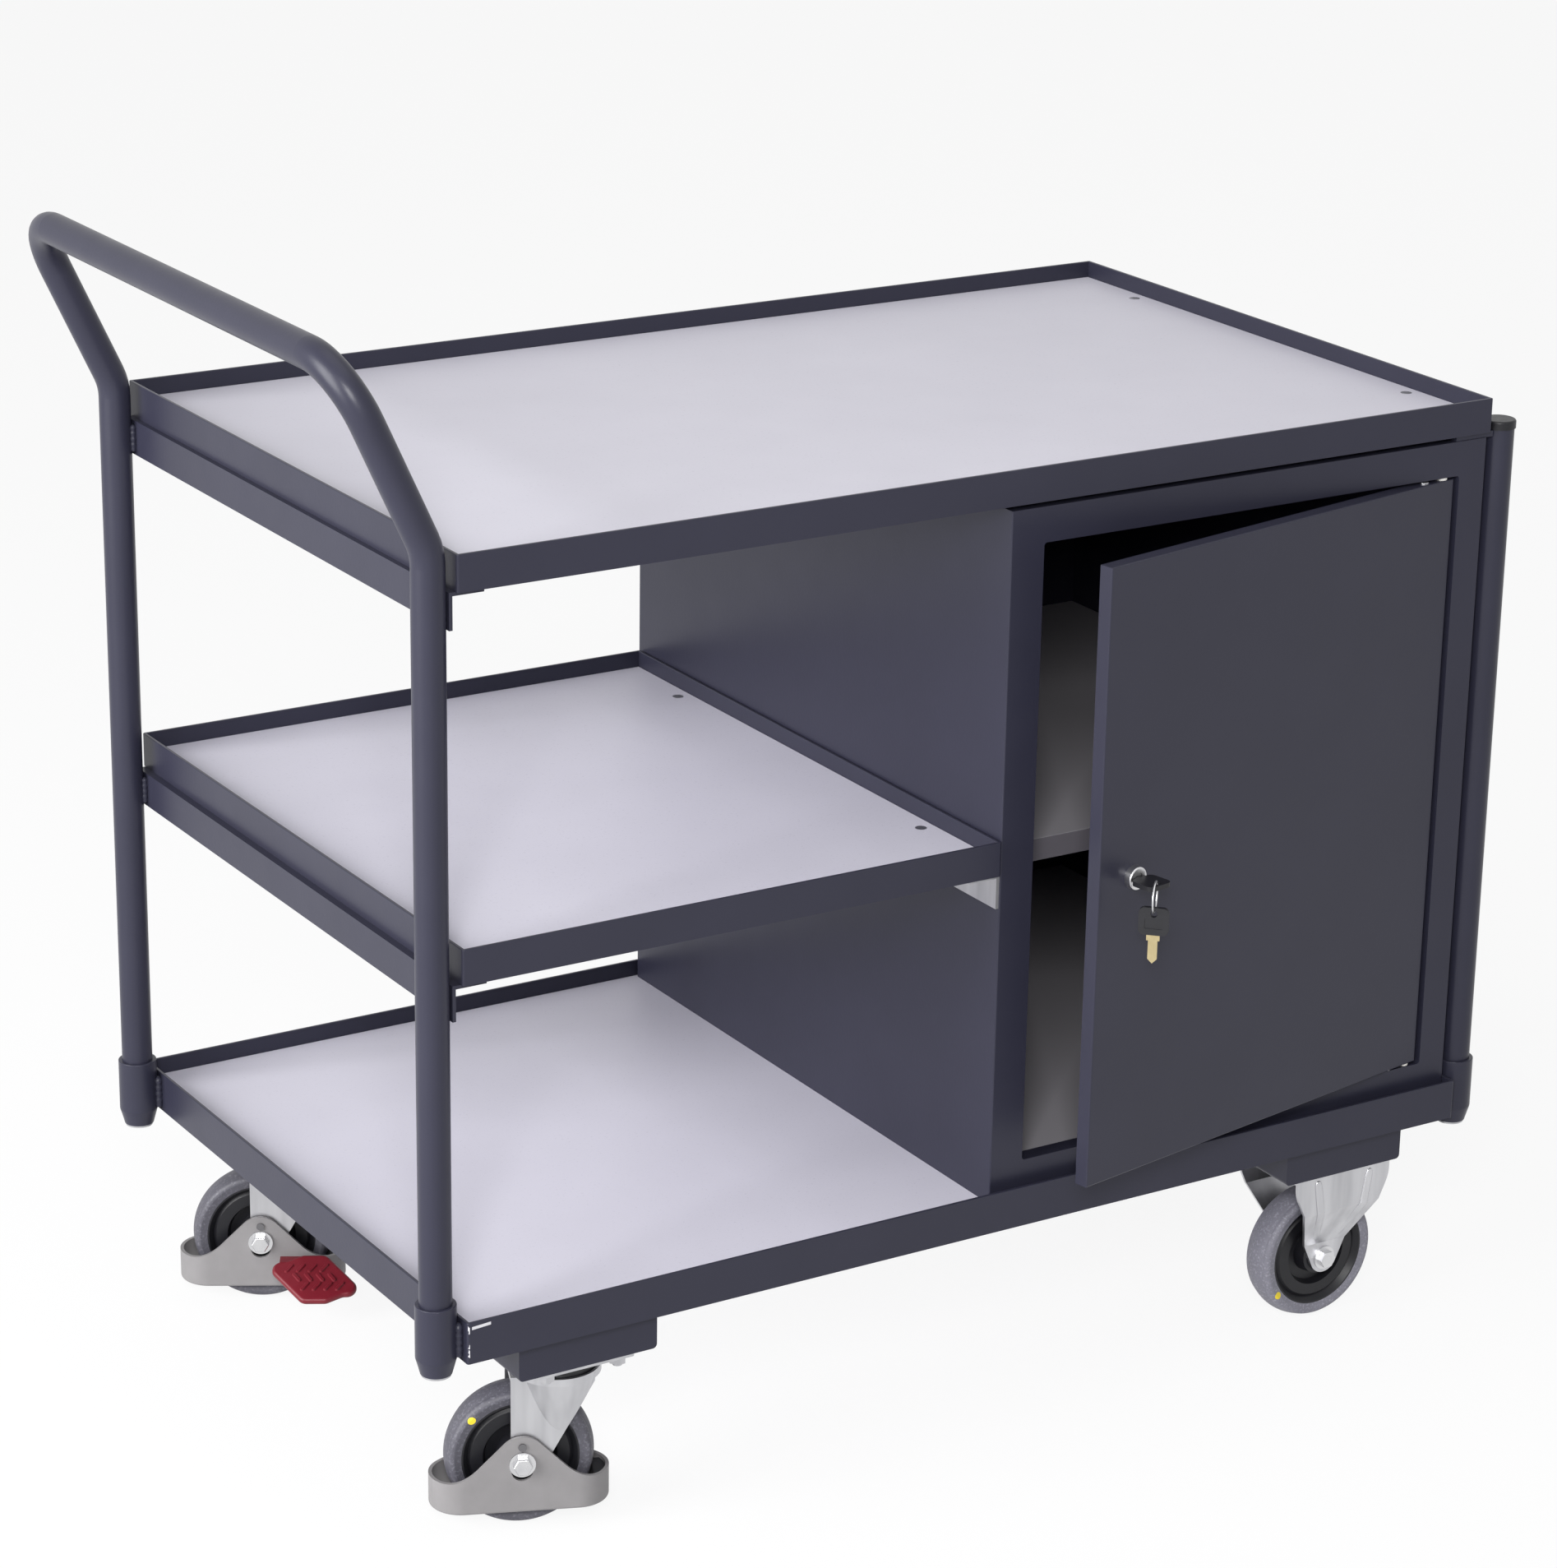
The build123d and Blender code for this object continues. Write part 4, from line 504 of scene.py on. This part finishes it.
def new_piece(name, tubes, body, finish):
    """One smooth mesh object that holds all the tubes and rides on a body."""
    first = np.cumsum([0] + [tube.shape[0] * tube.shape[1] for tube in tubes])
    faces = [ring_faces(*tube.shape[:2], start) for tube, start in zip(tubes, first)]
    points = np.concatenate([tube.reshape(-1, 3) for tube in tubes])
    mesh = bpy.data.meshes.new(name)
    mesh.from_pydata(points.tolist(), [], np.concatenate(faces).tolist())
    shape = bmesh.new()
    shape.from_mesh(mesh)
    bmesh.ops.remove_doubles(shape, verts=shape.verts, dist=1e-6)
    shape.to_mesh(mesh)
    shape.free()
    mesh.polygons.foreach_set("use_smooth", np.ones(len(mesh.polygons), bool))
    mesh.materials.append(finish)
    piece = bpy.data.objects.new(name, mesh)
    bpy.context.collection.objects.link(piece)
    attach(piece, body)
    print(name, "has", len(mesh.polygons), "faces")


# %% Weld seams
SOCKET_RADIUS = 0.01685
TIP = 0.003
SOCKET_BEAD = 0.0042
SOCKET_BEAD_OUT = 0.0022
SOCKET_BEAD_SIDE = 0.0105
SOCKET_BEAD_PITCH = 0.006
RAIL_BEAD = 0.003
RAIL_BEAD_OUT = 0.0018
RAIL_BEAD_SIDE = 0.009
RAIL_BEAD_PITCH = 0.005
socket_low, socket_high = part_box("post_sockets")
post_lines = (socket_low.y + SOCKET_RADIUS, socket_high.y - SOCKET_RADIUS)
beads = []
for x in (tray_low.x - SOCKET_BEAD_OUT, tray_high.x + SOCKET_BEAD_OUT):
    for post in post_lines:
        for y in (post - SOCKET_BEAD_SIDE, post + SOCKET_BEAD_SIDE):
            ends = [(x, y, tray_low.z + TIP), (x, y, tray_high.z - TIP)]
            beads.append(sweep(ends, (1, 0, 0), SOCKET_BEAD, SOCKET_BEAD, SOCKET_BEAD_PITCH))
new_piece("socket_welds", beads, "chassis", paint)

beads = []
for rail in ("top_end_rail", "middle_end_rail"):
    rail_low, rail_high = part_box(rail)
    for post, inward in zip(post_lines, (1, -1)):
        x = rail_low.x - RAIL_BEAD_OUT
        y = post + inward * RAIL_BEAD_SIDE
        ends = [(x, y, rail_low.z + TIP), (x, y, rail_high.z - TIP)]
        beads.append(sweep(ends, (1, 0, 0), RAIL_BEAD, RAIL_BEAD, RAIL_BEAD_PITCH))
new_piece("rail_welds", beads, "chassis", paint)

# %% [markdown]
# The legs of the fixed forks are pressed from sheet. Two upright ribs stiffen
# each leg: the press pushes them out of the sheet as shallow, rounded ridges
# that follow the leg down from the plate and in towards the axle. They are swept
# ovals too, half sunk in the leg.

# %% Ribs on the fixed forks
PLATE_DEPTH = 0.004
BEND_DROP = 0.036
KNEE_HEIGHT = 0.078
LEG_OUTER = 0.0235
PLATE_HALF = 0.045
RIB_WIDTH = 0.0042
RIB_HEIGHT = 0.0016
RIB_BEND_SHARE = 0.3
RIB_LINES = ((-0.029, -0.0115), (0.030, 0.012))
fork_low, fork_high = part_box("fixed_forks")
centre_x = (fork_low.x + fork_high.x) / 2
plate_low = fork_high.z - PLATE_DEPTH
ribs = []
for middle in (fork_low.y + PLATE_HALF, fork_high.y - PLATE_HALF):
    for side in (-1, 1):
        for top_x, foot_x in RIB_LINES:
            bend_x = top_x + (foot_x - top_x) * RIB_BEND_SHARE
            path = [
                (centre_x + top_x, middle + side * PLATE_HALF, plate_low - TIP),
                (centre_x + bend_x, middle + side * PLATE_HALF, plate_low - BEND_DROP),
                (centre_x + foot_x, middle + side * LEG_OUTER, KNEE_HEIGHT + TIP),
            ]
            ribs.append(sweep(path, (1, 0, 0), RIB_WIDTH, RIB_HEIGHT))
new_piece("fork_ribs", ribs, "chassis", zinc)

# %% [markdown]
# The floor is a wide, flat sheet of pale studio paper. Rays from the camera,
# from mirroring metal and through glass see it almost white, as in the
# photograph, while the share of it that answers to light keeps the trolley's
# soft shadow.


# %% Floor
def shown_white(tree):
    """One for rays of the camera, of mirrors and through glass, nought for light."""
    ray = add_node(tree, "ShaderNodeLightPath").outputs
    shown = {0: ray["Is Glossy Ray"], 1: ray["Is Transmission Ray"]}
    shown = add_node(tree, "ShaderNodeMath", shown, operation="MAXIMUM").outputs[0]
    shown = {0: shown, 1: ray["Is Camera Ray"]}
    return add_node(tree, "ShaderNodeMath", shown, operation="MAXIMUM").outputs[0]


FLOOR_HALF = 9.0
STEPS = 24
WHITE_SHARE = 0.9
span = np.linspace(-FLOOR_HALF, FLOOR_HALF, STEPS + 1)
gx, gy = np.meshgrid(span, span, indexing="ij")
points = np.stack([gx, gy, np.full_like(gx, cad_box[0].z)], -1).reshape(-1, 3)
row, column = np.meshgrid(np.arange(STEPS), np.arange(STEPS), indexing="ij")
spot = (row * (STEPS + 1) + column).reshape(-1)
faces = np.stack([spot, spot + STEPS + 1, spot + STEPS + 2, spot + 1], -1)
mesh = bpy.data.meshes.new("floor")
mesh.from_pydata(points.tolist(), [], faces.tolist())
floor = bpy.data.objects.new("floor", mesh)
bpy.context.collection.objects.link(floor)

paper, tree, shader, place, colour = ground(
    "studio_paper_white", ("#e9e9ea", "#efeff0"), 400, (0.85, 0.95), 5.0, 0.02
)
share = {0: shown_white(tree), 1: WHITE_SHARE}
share = add_node(tree, "ShaderNodeMath", share, operation="MULTIPLY").outputs[0]
glow = add_node(tree, "ShaderNodeEmission", {"Color": srgb("#ffffff"), "Strength": 1.0})
sheet = {0: share, 1: shader.outputs[0], 2: glow.outputs[0]}
sheet = add_node(tree, "ShaderNodeMixShader", sheet)
tree.links.new(sheet.outputs[0], tree.nodes["Material Output"].inputs["Surface"])
mesh.materials.append(paper)
print("floor at height in mm:", round(cad_box[0].z * 1000, 1))

# %% [markdown]
# In the photograph the ends that face the handle are lit several times as
# strongly as the front, so the main light is a large soft panel on the handle's
# side. A smaller panel in front, a little above the camera, reaches through the
# door's gap to the shelf, a weak one overhead softens the shadows under the decks,
# and the white room fills in.


# %% Light
def panel(name, spot, aim, size, watts):
    """A square soft light at a spot, which faces the aim."""
    lamp = bpy.data.lights.new(name, "AREA")
    lamp.size = size
    lamp.energy = watts
    holder = bpy.data.objects.new(name, lamp)
    holder.location = spot
    holder.rotation_euler = (Vector(aim) - Vector(spot)).to_track_quat("-Z", "Y").to_euler()
    bpy.context.collection.objects.link(holder)


world = bpy.data.worlds.new("studio")
bpy.context.scene.world = world
world.use_nodes = True
tree = world.node_tree
room = tree.nodes["Background"]
room.inputs["Color"].default_value = srgb("#ffffff")
room.inputs["Strength"].default_value = 0.25
white = add_node(tree, "ShaderNodeBackground", {"Color": srgb("#ffffff"), "Strength": 1.0})
choice = {0: shown_white(tree), 1: room.outputs[0], 2: white.outputs[0]}
choice = add_node(tree, "ShaderNodeMixShader", choice)
tree.links.new(choice.outputs[0], tree.nodes["World Output"].inputs["Surface"])

MIDDLE = (0, 0, 0.5)
panel("handle_side_panel", (-4.2, -0.2, 1.8), MIDDLE, 2.6, 265)
panel("top_panel", (0.2, -0.4, 4.4), MIDDLE, 3.0, 26)
panel("front_panel", (-2.1, -3.1, 2.4), (0.28, -0.25, 0.5), 1.0, 110)
print("lights:", [light.name for light in bpy.data.lights])
